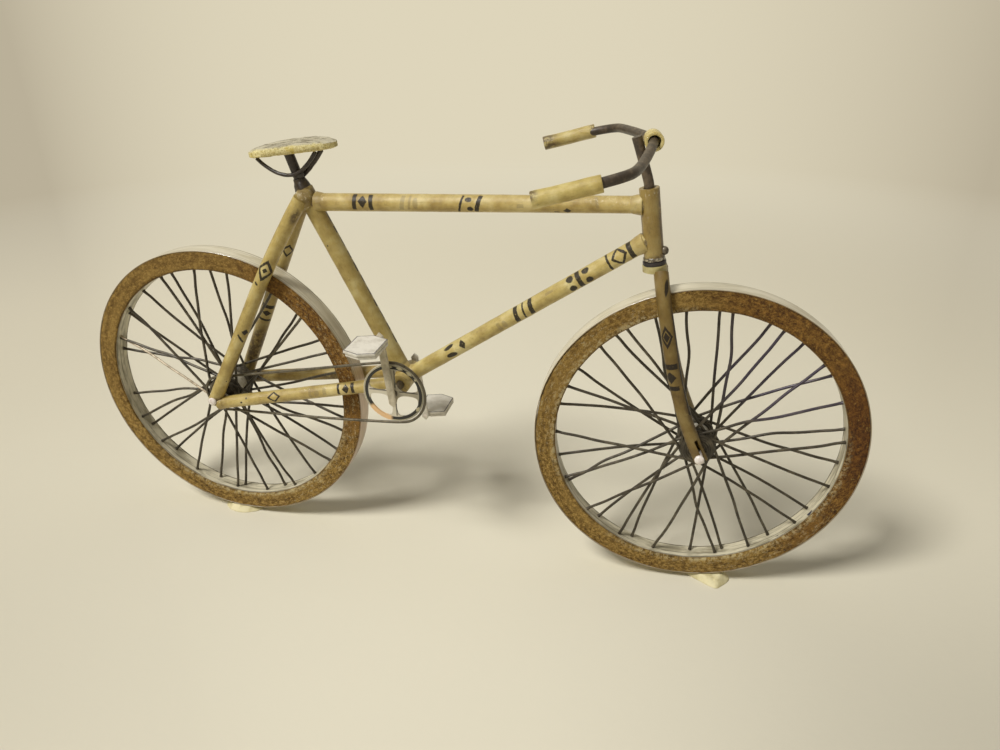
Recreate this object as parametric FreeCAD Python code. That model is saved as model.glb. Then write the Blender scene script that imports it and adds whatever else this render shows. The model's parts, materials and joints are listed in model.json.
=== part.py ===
import FreeCAD, Part
import math
import os

# A hand-made miniature safety bicycle of rolled paper, card and wire.
# Millimetres. +X runs forward, +Z up and +Y to the rider's left. The origin lies on the table
# under the rear axle. The chain side, at -Y, is called right, as a rider would call it.

# Share of the shorter straight run that a bend in a wire or tube takes up
bend_share = 0.45

# Flat sides of the bent tubes and of the thin wires
bent_tube_sides = 8
thin_wire_sides = 4

# Wheels: a ring cut from thick board, with a paper strip glued outside and one inside
ring_outer_radius = 25.0
ring_depth = 3.0
ring_width = 3.3
ring_sides = 40
tread_thickness = 0.3
rim_strip_thickness = 0.25

# Spokes and hub: wire wound round the two ends of a paper roll that turns on a pin
spokes_per_direction = 9
spoke_diameter = 0.45
spoke_sides = 3
spoke_rim_gap = 0.15
spoke_rim_offset = 0.45
spoke_sweep_angle = 74.0
hub_diameter = 4.2
hub_length = 6.2
winding_diameter = 5.4
winding_sides = 12
winding_width = 1.1
winding_inset = 0.15
outer_spoke_inset = 0.3
inner_spoke_inset = 0.85
axle_diameter = 1.15
axle_past_stays = 1.0
running_clearance = 0.05
seat_clearance = 0.02
spoke_hub_gap = 0.04

# Putty dabs that the tyres stand in
putty_thickness = 0.6
putty_gap = 0.3
putty_rear_size = (8.2, 5.6)
putty_rear_offset = (-1.6, 0.0)
putty_front_size = (7.6, 5.8)
putty_front_offset = (4.45, -0.2)
putty_height = 1.5
putty_middle_share = 0.92
putty_top_share = 0.62
putty_sides = 14
putty_unevenness = 0.07

# Frame tubes
bottom_bracket_ahead_of_tyre = 7.8
front_tyre_ahead_of_bracket = 21.95
bottom_bracket_rise = 5.6
bottom_bracket_diameter = 3.2
bottom_bracket_length = 6.0
seat_tube_angle = 64.2
seat_tube_diameter = 2.85
seat_tube_length = 33.6
top_tube_below_seat_end = 2.2
top_tube_diameter = 2.55
down_tube_diameter = 2.45
head_angle = 81.5
head_foot_above_tyre = 3.35
head_tube_length = 10.2
head_tube_diameter = 2.8
top_tube_below_head_top = 2.4
down_tube_above_head_foot = 3.1
fork_offset = 4.45
bead_diameter = 1.4
bead_above_head_foot = 1.2
bead_sides = 8
bead_rims = 4

# Stays
stay_beside_hub = 2.1
seat_stay_diameter = 2.3
seat_stay_top_spread = 1.9
seat_stay_below_seat_end = 1.0
seat_stay_behind = 1.8
chain_stay_diameter = 2.15
chain_stay_rear_drop = 0.85
chain_stay_front_spread = 2.3
chain_stay_front_reach = 1.6
chain_stay_front_drop = 0.3
stay_end_overrun = 0.9

# Saddle
seat_post_diameter = 1.4
seat_post_angle = 72.2
seat_post_length = 5.5
seat_post_sunk = 1.2
seat_post_back = 0.25
seat_post_sides = 8
seat_glue_diameter = 2.3
seat_glue_height = 1.3
saddle_length = 14.6
saddle_width = 5.2
saddle_thickness = 1.1
saddle_edge = 0.3
saddle_sides = 30
saddle_roundness = 2.3
saddle_tilt = 8.5
saddle_forward = 0.85
saddle_wire_diameter = 0.55
saddle_wire_side = 1.02
saddle_wire_rear = -5.25
saddle_wire_front = 4.75
saddle_strut_front = 5.35
saddle_wire_drop = 3.1
saddle_wire_end_side = 0.3
saddle_wire_rear_run = 2.2
saddle_wire_front_run = 1.5
saddle_wire_shoulder = 1.9
saddle_wire_low_ahead = 0.55
saddle_strut_run = 2.2
saddle_strut_foot = 0.9
saddle_strut_drop = 3.8
saddle_strut_shoulder = 2.5
saddle_front_side = 0.8

# Steering: the post runs through the head tube and carries crown, blades and handlebar
steer_angle = 5.5
handlebar_twist = 3.5
post_diameter = 1.4
post_bend_above_head = 1.0
post_above_bend = 6.0
post_lean = 11.0
washer_diameter = 3.3
washer_thickness = 0.6
crown_diameter = 3.5
crown_thickness = 1.0
blade_diameter = 2.1
blade_top_spread = 1.25
blade_shoulder_spread = 3.15
blade_shoulder_drop = 3.0
blade_beside_hub = 1.75
blade_forward_at_crown = 0.8
blade_bend_spread = 4.56
blade_bend_height = 6.5
blade_bend_back = 3.4
blade_top_overrun = 0.5
blade_tip_overrun = 1.0
blade_bore = 1.3
blade_slit_width = 0.55
blade_slit_length = 3.4
blade_slit_turn = 28.0

# Handlebar: a rod through a paper collar glued to the front of the post
collar_diameter = 2.7
collar_length = 3.0
collar_below_post_top = 1.15
bar_diameter = 1.3
bar_sides = 7
bar_half_width = 19.3
bar_straight_half = 1.6
bar_sweep = 2.3
bar_elbow_reach = 11.5
left_elbow_drop = 0.45
bar_corner_inset = 2.75
grip_diameter = 2.05
grip_length = 8.2
grip_back = 6.75
grip_drop = 1.65
grip_slope = 14.5
bar_inside_grip = 5.0
grip_glue = 0.06

# Cranks, chainring and pedals
chainring_past_bracket = 2.9
chainring_radius = 5.05
chainring_band = 0.75
chainring_thickness = 0.3
chainring_sides = 32
spider_width = 0.9
spider_boss_radius = 1.5
spindle_diameter = 1.3
crank_length = 9.9
crank_width = 1.2
crank_thickness = 0.44
crank_overrun = 2.0
crank_point = 0.6
crank_tip_overrun = 0.9
crank_lean = 7.0
right_crank_past_ring = 1.0
left_crank_past_bracket = 1.7
pedal_length = 7.0
pedal_side_length = 5.2
pedal_width = 5.0
pedal_thickness = 1.0
pedal_offset = 0.7
pedal_pin_diameter = 0.6

# Chain: one loop of thin wire round the chainring and the hub
chain_wire_diameter = 0.45
chain_gap = 0.12
chain_rear_radius = 3.1
chain_past_hub = 0.1

# Places worked out from the sizes above
ring_inner_radius = ring_outer_radius - ring_depth
tyre_radius = ring_outer_radius + tread_thickness
bottom_bracket_x = tyre_radius + bottom_bracket_ahead_of_tyre
wheelbase = bottom_bracket_x + front_tyre_ahead_of_bracket + tyre_radius
head_tube_rise = tyre_radius + head_foot_above_tyre
stay_end_spread = hub_length / 2 + stay_beside_hub
blade_tip_spread = hub_length / 2 + blade_beside_hub
axle_length = 2 * (stay_end_spread + axle_past_stays)
chain_rear_spread = hub_length / 2 + chain_past_hub
ring_spread = bottom_bracket_length / 2 + chainring_past_bracket
right_crank_spread = ring_spread + right_crank_past_ring
left_crank_spread = bottom_bracket_length / 2 + left_crank_past_bracket
axle_height = putty_thickness + putty_gap + tyre_radius
rear_axle = FreeCAD.Vector(0, 0, axle_height)
front_axle_straight = FreeCAD.Vector(wheelbase, 0, axle_height)
bottom_bracket = FreeCAD.Vector(bottom_bracket_x, 0, axle_height + bottom_bracket_rise)
left = FreeCAD.Vector(0, 1, 0)
up = FreeCAD.Vector(0, 0, 1)


def direction(angle):
    """Unit vector in the XZ plane that rises backwards at this angle from the ground."""
    return FreeCAD.Vector(-math.cos(math.radians(angle)), 0, math.sin(math.radians(angle)))


head_axis = direction(head_angle)
head_forward = FreeCAD.Vector(head_axis.z, 0, -head_axis.x)
lean_axis = direction(head_angle - post_lean)
head_ground_point = front_axle_straight - head_forward * fork_offset
head_foot = head_ground_point + head_axis * ((head_tube_rise + fork_offset * head_forward.z) / head_axis.z)
head_top = head_foot + head_axis * head_tube_length
post_bend = head_top + head_axis * post_bend_above_head
seat_axis = direction(seat_tube_angle)
seat_tube_end = bottom_bracket + seat_axis * seat_tube_length
post_axis = direction(seat_post_angle)


def rod(start, end, diameter):
    """Solid round rod between two points."""
    span = end - start
    return Part.makeCylinder(diameter / 2, span.Length, start, span)


def main_solid(shape):
    """The largest solid of a mitred piece, without the offcuts beyond the joint."""
    return max(shape.Solids, key=lambda solid: solid.Volume)


def across(centre, low, high, diameter):
    """Round rod that runs along Y through a centre, from one side distance to another."""
    start = FreeCAD.Vector(centre.x, centre.y + low, centre.z)
    return Part.makeCylinder(diameter / 2, high - low, start, left)


def polygon(centre, normal, radius, sides):
    """Closed polygon of this many sides on a circle about a centre."""
    sideways = normal.cross(up if abs(normal.z) < abs(normal.y) + abs(normal.x) else left)
    sideways.normalize()
    third = normal.cross(sideways)
    third.normalize()
    turns = [2 * math.pi * index / sides for index in range(sides)]
    corners = [centre + (sideways * math.cos(turn) + third * math.sin(turn)) * radius for turn in turns]
    return Part.makePolygon(corners + corners[:1])


def prism(start, end, diameter, sides):
    """Straight wire between two points, with flat sides."""
    return Part.Face(polygon(start, end - start, diameter / 2, sides)).extrude(end - start)


def bent_rod(points, diameter, sides):
    """Wire or tube along straight runs joined by tangent arcs, each nearly as large as its runs allow."""
    edges = []
    start = points[0]
    for before, corner, after in zip(points, points[1:], points[2:]):
        back = before - corner
        ahead = after - corner
        half_turn = (math.pi - back.getAngle(ahead)) / 2
        reach = bend_share * min(back.Length, ahead.Length)
        back.normalize()
        ahead.normalize()
        bisector = back + ahead
        bisector.normalize()
        radius = reach / math.tan(half_turn)
        arc_start = corner + back * reach
        arc_end = corner + ahead * reach
        arc_middle = corner + bisector * (radius / math.cos(half_turn) - radius)
        edges.append(Part.LineSegment(start, arc_start).toShape())
        edges.append(Part.Arc(arc_start, arc_middle, arc_end).toShape())
        start = arc_end
    edges.append(Part.LineSegment(start, points[-1]).toShape())
    section = polygon(points[0], points[1] - points[0], diameter / 2, sides)
    return Part.Wire(edges).makePipeShell([section], True, True)


def ring(inner, outer, width):
    """Flat ring about the Y axis, centred on the origin."""
    start = FreeCAD.Vector(0, -width / 2, 0)
    return Part.makeCylinder(outer, width, start, left).cut(Part.makeCylinder(inner, width, start, left))


def flat_sided_ring(inner, outer, width, sides):
    """The same ring with flat sides, for the rings and windings that repeat on both wheels."""
    start = left * (-width / 2)
    rims = [Part.Face(polygon(start, left, radius, sides)).extrude(left * width) for radius in (outer, inner)]
    return rims[0].cut(rims[1])


def steered(shape, extra=0.0):
    """Turn a steering piece about the head axis to the angle the bicycle is parked at."""
    turned = shape.copy()
    turned.rotate(head_foot, head_axis, steer_angle + extra)
    return turned


def steered_point(point):
    """The same turn for one point."""
    turn = FreeCAD.Rotation(head_axis, steer_angle)
    return head_foot + turn.multVec(point - head_foot)


def on_circle(radius, turn, side):
    """Point on a circle about the Y axis, at a distance to the side."""
    return FreeCAD.Vector(radius * math.cos(turn), side, radius * math.sin(turn))


def spokes():
    """Wire spokes about the origin, leading and trailing on each side, with their windings."""
    side_reach = hub_length / 2
    winding_middle = side_reach - winding_inset - winding_width / 2
    pieces = []
    for side in (-1, 1):
        winding_bore = (hub_diameter / 2 + seat_clearance) / math.cos(math.pi / winding_sides)
        winding = flat_sided_ring(winding_bore, winding_diameter / 2, winding_width, winding_sides)
        pieces.append(winding.translated(left * (side * winding_middle)))
        for lead, inset in ((1, outer_spoke_inset), (-1, inner_spoke_inset)):
            hub_side = side * (side_reach - winding_inset - inset)
            rim_side = side * spoke_rim_offset
            phase = (0.5 if lead > 0 else 0.0) + (0.25 if side > 0 else 0.0)
            for index in range(spokes_per_direction):
                rim_turn = 2 * math.pi * (index + phase) / spokes_per_direction
                hub_turn = rim_turn + lead * math.radians(spoke_sweep_angle)
                hub_reach = (hub_diameter + spoke_diameter) / 2 + spoke_hub_gap
                rim_reach = ring_inner_radius - rim_strip_thickness - spoke_rim_gap
                hub_end = on_circle(hub_reach, hub_turn, hub_side)
                rim_end = on_circle(rim_reach, rim_turn, rim_side)
                pieces.append(prism(hub_end, rim_end, spoke_diameter, spoke_sides))
    return pieces[0].fuse(pieces[1:])


def wheel():
    """The five pieces of one wheel about the origin, by name."""
    hub = ring(axle_diameter / 2 + running_clearance, hub_diameter / 2, hub_length)
    inside = ring_inner_radius - rim_strip_thickness
    return {
        "ring": flat_sided_ring(ring_inner_radius, ring_outer_radius, ring_width, ring_sides),
        "tread": flat_sided_ring(ring_outer_radius, tyre_radius, ring_width, ring_sides),
        "rim_strip": flat_sided_ring(inside, ring_inner_radius, ring_width, ring_sides),
        "spokes": spokes(),
        "hub": hub,
    }


def rear_wheel():
    return {"rear_" + name: shape.translated(rear_axle) for name, shape in wheel().items()}


def front_wheel():
    pieces = wheel().items()
    return {"front_" + name: steered(shape.translated(front_axle_straight)) for name, shape in pieces}


def putty(wheel_centre, offset, size, hollow_centre):
    """A squashed uneven dab of putty, narrower at its top, dished where the tyre sits over it."""
    outlines = []
    middle = (putty_middle_share, putty_height / 2)
    for share, height in ((1.0, 0.0), middle, (putty_top_share, putty_height)):
        corners = []
        for index in range(putty_sides):
            turn = 2 * math.pi * index / putty_sides
            reach = share * (1 - putty_unevenness * (1 + math.cos(3 * turn)) / 2) / 2
            x = wheel_centre.x + offset[0] + reach * size[0] * math.cos(turn)
            corners.append(FreeCAD.Vector(x, offset[1] + reach * size[1] * math.sin(turn), height))
        outlines.append(Part.makePolygon(corners + corners[:1]))
    lump = Part.makeLoft(outlines, True, True)
    return lump.cut(Part.makeSphere(tyre_radius + putty_gap, hollow_centre, left))


def frame_tubes():
    """The main tubes, each mitred against those that it is glued to."""
    seat_joint = seat_tube_end - seat_axis * top_tube_below_seat_end
    top_joint = head_top - head_axis * top_tube_below_head_top
    down_joint = head_foot + head_axis * down_tube_above_head_foot
    shell_half = bottom_bracket_length / 2
    bracket = across(bottom_bracket, -shell_half, shell_half, bottom_bracket_diameter)
    spindle_bore = across(bottom_bracket, -shell_half, shell_half, spindle_diameter + 2 * running_clearance)
    head = rod(head_foot, head_top, head_tube_diameter)
    post_bore = rod(head_foot, head_top, post_diameter + 2 * running_clearance)
    seat = rod(bottom_bracket, seat_tube_end, seat_tube_diameter)
    top = rod(seat_joint, top_joint, top_tube_diameter)
    down = rod(bottom_bracket, down_joint, down_tube_diameter)
    bead_point = head_foot + head_axis * bead_above_head_foot + head_forward * (head_tube_diameter / 2)
    return {
        "bottom_bracket": bracket.cut(spindle_bore),
        "head_tube": head.cut(post_bore),
        "seat_tube": seat.cut(bracket).cut(seat_post_solid()),
        "top_tube": top.cut([seat, head]),
        "down_tube": down.cut([bracket, head, seat]),
        "head_bead": bead(bead_point).cut(head),
        "seat_glue": seat_glue(),
    }


def bead(centre):
    """Small ball with flat facets, its poles to the front and the rear."""
    rims = []
    for index in range(bead_rims):
        rise = math.pi * ((index + 0.5) / bead_rims - 0.5)
        middle = centre + head_forward * (bead_diameter / 2 * math.sin(rise))
        rims.append(polygon(middle, head_forward, bead_diameter / 2 * math.cos(rise), bead_sides))
    return Part.makeLoft(rims, True, True)


def seat_glue():
    """Cone of glue round the saddle's post, on the seat tube's end."""
    top = seat_tube_end + seat_axis * seat_glue_height
    rims = [
        polygon(seat_tube_end, seat_axis, seat_glue_diameter / 2, seat_post_sides),
        polygon(top, seat_axis, seat_post_diameter / 2, seat_post_sides),
    ]
    return Part.makeLoft(rims, True, True).cut(seat_post_solid())


def seat_post_ends():
    """Foot of the saddle's post, sunk in the seat tube's end, and its top under the pad."""
    foot = seat_tube_end - seat_axis * seat_post_sunk - FreeCAD.Vector(seat_post_back, 0, 0)
    return foot, foot + post_axis * (seat_post_length + seat_post_sunk)


def seat_post_solid():
    return prism(*seat_post_ends(), seat_post_diameter, seat_post_sides)


def stays(tubes, axle):
    """Seat stays and chain stays, mitred against the main tubes and each other."""
    pieces = {}
    seat = rod(bottom_bracket, seat_tube_end, seat_tube_diameter)
    bracket_half = bottom_bracket_length / 2
    bracket = across(bottom_bracket, -bracket_half, bracket_half, bottom_bracket_diameter)
    for name, side in (("right", -1), ("left", 1)):
        rear_end = rear_axle + left * (side * stay_end_spread)
        stay_top = seat_tube_end - seat_axis * seat_stay_below_seat_end + left * (side * seat_stay_top_spread)
        stay_top = stay_top - FreeCAD.Vector(seat_axis.z, 0, -seat_axis.x) * seat_stay_behind
        stay_front = bottom_bracket + left * (side * chain_stay_front_spread)
        stay_front = stay_front - FreeCAD.Vector(chain_stay_front_reach, 0, chain_stay_front_drop)
        seat_run = stay_top - rear_end
        seat_run.normalize()
        chain_end = rear_end - up * chain_stay_rear_drop
        chain_run = stay_front - chain_end
        chain_run.normalize()
        seat_stay = rod(rear_end - seat_run * stay_end_overrun, stay_top, seat_stay_diameter)
        chain_stay = rod(chain_end - chain_run * stay_end_overrun, stay_front, chain_stay_diameter)
        seat_stay = main_solid(seat_stay.cut([seat, tubes["top_tube"], axle]))
        pieces["seat_stay_" + name] = seat_stay
        pieces["chain_stay_" + name] = main_solid(chain_stay.cut([seat, bracket, seat_stay, axle]))
    return pieces


def saddle_outline(inset, height):
    """Long oval, a little fuller than an ellipse."""
    half_length = saddle_length / 2 - inset
    half_width = saddle_width / 2 - inset
    corners = []
    for index in range(saddle_sides):
        turn = 2 * math.pi * index / saddle_sides
        x = math.copysign(abs(math.cos(turn)) ** (2 / saddle_roundness), math.cos(turn))
        y = math.copysign(abs(math.sin(turn)) ** (2 / saddle_roundness), math.sin(turn))
        corners.append(FreeCAD.Vector(half_length * x, half_width * y, height))
    return Part.makePolygon(corners + corners[:1])


def saddle():
    """The pad on its post, with the wire that loops under it and a strut to the nose."""
    post_top = seat_post_ends()[1]
    pad = Part.makeLoft([
        saddle_outline(saddle_edge, 0),
        saddle_outline(0, saddle_edge),
        saddle_outline(0, saddle_thickness - saddle_edge),
        saddle_outline(saddle_edge, saddle_thickness),
    ], True, True)
    place = FreeCAD.Placement(post_top, FreeCAD.Rotation(left, -saddle_tilt))
    shift = FreeCAD.Vector(saddle_forward, 0, 0)
    pad = pad.translated(shift)
    pad.Placement = place.multiply(pad.Placement)
    under = post_top
    along = place.Rotation.multVec(FreeCAD.Vector(1, 0, 0))
    lift = saddle_wire_diameter / 2
    post = seat_post_solid().cut(pad)

    def below_pad(forward, side, drop):
        return under + along * forward + left * side - up * (drop + lift)

    wire = bent_rod([
        below_pad(saddle_wire_rear, -saddle_wire_end_side, 0),
        below_pad(saddle_wire_rear + saddle_wire_rear_run, -saddle_front_side, saddle_wire_shoulder),
        below_pad(saddle_wire_low_ahead, -saddle_wire_side, saddle_wire_drop),
        below_pad(saddle_wire_front - saddle_wire_front_run, -saddle_wire_side, saddle_wire_shoulder),
        below_pad(saddle_wire_front, -saddle_front_side, 0),
    ], saddle_wire_diameter, thin_wire_sides).cut(pad)
    strut = bent_rod([
        below_pad(saddle_strut_foot, saddle_wire_side, saddle_strut_drop),
        below_pad(saddle_strut_front - saddle_strut_run, saddle_wire_side, saddle_strut_shoulder),
        below_pad(saddle_strut_front, saddle_front_side, 0),
    ], saddle_wire_diameter, thin_wire_sides).cut([pad, post])
    return {"seat_post": post, "saddle_pad": pad, "saddle_wire": wire, "saddle_strut": strut}


def axle_pin(centre):
    return across(centre, -axle_length / 2, axle_length / 2, axle_diameter)


def crown():
    """Washer and collar under the head tube, and the post through them."""
    washer_top = head_foot - head_axis * running_clearance
    washer_foot = washer_top - head_axis * washer_thickness
    collar_foot = washer_foot - head_axis * crown_thickness
    post_foot = rod(collar_foot, head_top, post_diameter)
    post_top = post_bend + lean_axis * post_above_bend
    post_neck = bent_rod([head_top, post_bend, post_top], post_diameter, bent_tube_sides)
    return {
        "steering_post": post_foot.fuse(post_neck).removeSplitter(),
        "head_washer": rod(washer_foot, washer_top, washer_diameter).cut(post_foot),
        "crown_collar": rod(collar_foot, washer_foot, crown_diameter).cut(post_foot),
    }


def fork_blade(side, axle):
    """One blade: out from the crown, down past the wheel and forward to the axle, slit at its end."""
    crown_foot = head_foot - head_axis * (running_clearance + washer_thickness + crown_thickness)
    top = crown_foot + head_forward * blade_forward_at_crown + left * (side * blade_top_spread)
    start = top + head_axis * blade_top_overrun
    above = rod(crown_foot, crown_foot + head_axis * blade_diameter, 2 * crown_diameter)
    tip = front_axle_straight + left * (side * blade_tip_spread)
    shoulder = top - head_axis * blade_shoulder_drop
    shoulder.y = side * blade_shoulder_spread
    bend = tip + FreeCAD.Vector(-blade_bend_back, 0, blade_bend_height)
    bend.y = side * blade_bend_spread
    last_run = tip - bend
    last_run.normalize()
    end = tip + last_run * blade_tip_overrun
    blade = bent_rod([start, shoulder, bend, end], blade_diameter, bent_tube_sides).cut(above)
    bore = prism(end, end - last_run * blade_slit_length, blade_bore, bent_tube_sides)
    slit = Part.makeBox(blade_slit_width, blade_diameter, blade_slit_length)
    slit.translate(FreeCAD.Vector(-blade_slit_width / 2, 0, 0))
    slit_way = left * side + FreeCAD.Vector(math.tan(math.radians(blade_slit_turn)), 0, 0)
    slit_frame = FreeCAD.Rotation(FreeCAD.Vector(), slit_way, last_run * -1, "ZYX")
    slit.Placement = FreeCAD.Placement(end, slit_frame).multiply(slit.Placement)
    return blade.cut([bore, slit, axle])


def handlebar():
    """Rod, collar and two grips, with the left elbow a little low and the twist they were glued at."""
    centre = post_bend + lean_axis * (post_above_bend - collar_below_post_top)
    centre = centre + FreeCAD.Vector(lean_axis.z, 0, -lean_axis.x) * ((post_diameter + collar_diameter) / 2)
    slope = math.radians(grip_slope)
    grip_run = FreeCAD.Vector(-math.cos(slope), 0, -math.sin(slope))
    pieces = {}
    half_points = []
    for name, side in (("right", -1), ("left", 1)):
        grip_front = centre + FreeCAD.Vector(-grip_back, side * bar_half_width, -grip_drop)
        grip_end = grip_front + grip_run * grip_length
        rod_end = grip_front + grip_run * bar_inside_grip
        corner = grip_front - grip_run * bar_corner_inset
        elbow = centre + FreeCAD.Vector(-bar_sweep, side * bar_elbow_reach, 0)
        if side > 0:
            elbow = elbow - up * left_elbow_drop
        half_points.append([rod_end, corner, elbow, centre + left * (side * bar_straight_half)])
        grip_bore = rod(grip_front, grip_end, bar_diameter + 2 * grip_glue)
        pieces["grip_" + name] = rod(grip_front, grip_end, grip_diameter).cut(grip_bore)
    route = half_points[0] + list(reversed(half_points[1]))
    bar = bent_rod(route, bar_diameter, bar_sides)
    half_collar = collar_length / 2
    collar = across(centre, -half_collar, half_collar, collar_diameter).cut(bar)
    pieces["handlebar"] = bar
    pieces["handlebar_collar"] = collar
    return {name: steered(shape, handlebar_twist) for name, shape in pieces.items()}


def chainring(spindle):
    """Card ring with a four-armed spider, on the spindle."""
    inside = chainring_radius - chainring_band
    band = flat_sided_ring(inside, chainring_radius, chainring_thickness, chainring_sides)
    boss = Part.makeCylinder(spider_boss_radius, chainring_thickness, left * (-chainring_thickness / 2), left)
    reach = chainring_radius - chainring_band / 2
    arms = []
    for index in range(2):
        arm = Part.makeBox(2 * reach, chainring_thickness, spider_width)
        arm.translate(FreeCAD.Vector(-reach, -chainring_thickness / 2, -spider_width / 2))
        arm.rotate(FreeCAD.Vector(0, 0, 0), left, 90.0 * index)
        arms.append(arm)
    whole = band.fuse([boss] + arms).removeSplitter()
    whole.translate(bottom_bracket - left * ring_spread)
    return whole.cut(spindle)


def crank_run(side):
    """Unit vector from the spindle to a pedal: the right crank points up and back, the left down."""
    lean = math.radians(crank_lean)
    return FreeCAD.Vector(math.sin(lean), 0, -math.cos(lean)) * side


def crank(side, spread):
    """Strip of card with pointed ends, glued across the spindle's end and bored for the pedal pin."""
    run = crank_run(side)
    wide = FreeCAD.Vector(run.z, 0, -run.x)
    half = crank_width / 2
    low = -crank_overrun
    high = crank_length + crank_tip_overrun
    outline = [(low, 0), (low + crank_point, half), (high - crank_point, half),
               (high, 0), (high - crank_point, -half), (low + crank_point, -half)]
    base = bottom_bracket + left * (side * spread - crank_thickness / 2)
    corners = [base + run * reach + wide * offset for reach, offset in outline]
    strip = Part.Face(Part.makePolygon(corners + corners[:1])).extrude(left * crank_thickness)
    return strip.cut(pedal_pin(side, spread))


def pedal_pin(side, spread):
    centre = bottom_bracket + crank_run(side) * crank_length
    reach = spread + crank_thickness / 2 + pedal_length / 2
    inner = spread - crank_thickness / 2
    low, high = sorted((side * inner, side * reach))
    return across(centre, low, high, pedal_pin_diameter)


def pedal(side, spread):
    """Long six-sided card block on its pin, glued a little behind the crank's end."""
    inner = spread + crank_thickness / 2
    middle = bottom_bracket + crank_run(side) * crank_length + left * (side * (inner + pedal_length / 2))
    middle = middle + FreeCAD.Vector(pedal_offset * side, 0, -pedal_thickness / 2)
    half = pedal_width / 2
    outline = [(0, pedal_length / 2), (half, pedal_side_length / 2), (half, -pedal_side_length / 2),
               (0, -pedal_length / 2), (-half, -pedal_side_length / 2), (-half, pedal_side_length / 2)]
    corners = [middle + FreeCAD.Vector(x, y, 0) for x, y in outline]
    block = Part.Face(Part.makePolygon(corners + corners[:1])).extrude(up * pedal_thickness)
    return block.fuse(pedal_pin(side, spread)).removeSplitter()


def cranks():
    half = crank_thickness / 2
    spindle = across(bottom_bracket, half - right_crank_spread, left_crank_spread - half, spindle_diameter)
    return {
        "crank_spindle": spindle,
        "chainring": chainring(spindle),
        "crank_right": crank(-1, right_crank_spread),
        "crank_left": crank(1, left_crank_spread),
        "pedal_right": pedal(-1, right_crank_spread),
        "pedal_left": pedal(1, left_crank_spread),
    }


def chain_wire():
    """One loop of wire in a slightly slanted plane, round the chainring and round the hub."""
    front = bottom_bracket - left * ring_spread
    rear = rear_axle - left * chain_rear_spread
    span = front - rear
    front_radius = chainring_radius + chain_gap + chain_wire_diameter / 2
    along = FreeCAD.Vector(span)
    along.normalize()
    normal = along.cross(up)
    normal.normalize()
    upward = normal.cross(along)
    tilt = math.acos((front_radius - chain_rear_radius) / span.Length)

    def rim_point(centre, radius, angle):
        return centre + along * (radius * math.cos(angle)) + upward * (radius * math.sin(angle))

    front_top = rim_point(front, front_radius, tilt)
    front_low = rim_point(front, front_radius, -tilt)
    rear_top = rim_point(rear, chain_rear_radius, tilt)
    rear_low = rim_point(rear, chain_rear_radius, -tilt)
    route = Part.Wire([
        Part.LineSegment(rear_top, front_top).toShape(),
        Part.Arc(front_top, rim_point(front, front_radius, 0), front_low).toShape(),
        Part.LineSegment(front_low, rear_low).toShape(),
        Part.Arc(rear_low, rim_point(rear, chain_rear_radius, math.pi), rear_top).toShape(),
    ])
    section = polygon(rear_top, front_top - rear_top, chain_wire_diameter / 2, thin_wire_sides)
    return route.makePipeShell([section], True, True)


def bicycle():
    """Every piece by node name."""
    rear_pin = axle_pin(rear_axle)
    front_pin = axle_pin(front_axle_straight)
    pieces = frame_tubes()
    pieces.update(stays(pieces, rear_pin))
    pieces.update(saddle())
    pieces["rear_axle_pin"] = rear_pin
    pieces["chain_wire"] = chain_wire()
    pieces["putty_rear"] = putty(rear_axle, putty_rear_offset, putty_rear_size, rear_axle)
    pivot_on_table = head_ground_point - head_axis * (head_ground_point.z / head_axis.z)
    pivot_over_pad = FreeCAD.Vector(pivot_on_table.x, 0, axle_height)
    pieces["putty_front"] = putty(front_axle_straight, putty_front_offset, putty_front_size, pivot_over_pad)
    for name, shape in crown().items():
        pieces[name] = steered(shape)
    for name, side in (("right", -1), ("left", 1)):
        pieces["fork_blade_" + name] = steered(fork_blade(side, front_pin))
    pieces["front_axle_pin"] = steered(front_pin)
    pieces.update(handlebar())
    pieces.update(rear_wheel())
    pieces.update(front_wheel())
    pieces.update(cranks())
    return pieces


os.makedirs("parts", exist_ok=True)
for node, solid in bicycle().items():
    solid.exportStep("parts/" + node + ".step")
    print(node, "solids", len(solid.Solids), "valid", solid.isValid(), "volume %.2f" % solid.Volume)

steer_centre = steered_point(front_axle_straight)
print("head foot", head_foot, "head axis", head_axis)
print("front axle", steer_centre, "direction", steered_point(front_axle_straight + left) - steer_centre)
print("bottom bracket", bottom_bracket)
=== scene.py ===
import json
import math
import random

import bpy
from mathutils import Matrix, Vector


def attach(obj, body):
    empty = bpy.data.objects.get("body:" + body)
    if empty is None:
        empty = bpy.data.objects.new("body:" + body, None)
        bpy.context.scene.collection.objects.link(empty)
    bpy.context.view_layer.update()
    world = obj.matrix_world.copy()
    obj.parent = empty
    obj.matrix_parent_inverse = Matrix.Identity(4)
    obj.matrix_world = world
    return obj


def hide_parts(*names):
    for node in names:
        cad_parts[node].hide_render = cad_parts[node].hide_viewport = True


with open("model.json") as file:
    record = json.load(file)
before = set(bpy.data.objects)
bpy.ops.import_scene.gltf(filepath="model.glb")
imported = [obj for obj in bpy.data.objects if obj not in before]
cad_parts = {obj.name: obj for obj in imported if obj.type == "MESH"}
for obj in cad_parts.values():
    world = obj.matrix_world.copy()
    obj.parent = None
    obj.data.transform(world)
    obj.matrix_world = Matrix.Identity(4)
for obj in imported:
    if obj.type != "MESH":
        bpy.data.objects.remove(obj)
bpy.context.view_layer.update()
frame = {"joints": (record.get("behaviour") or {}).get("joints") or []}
mm = 0.001
random.seed(41)
bpy.context.scene.view_settings.view_transform = "Standard"

# Places that come with the frame: the joints' pivots and axes
joints = {joint["name"]: joint for joint in frame["joints"]}


def pivotOf(name):
    return Vector(joints[name]["pos_m"]) / mm


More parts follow.
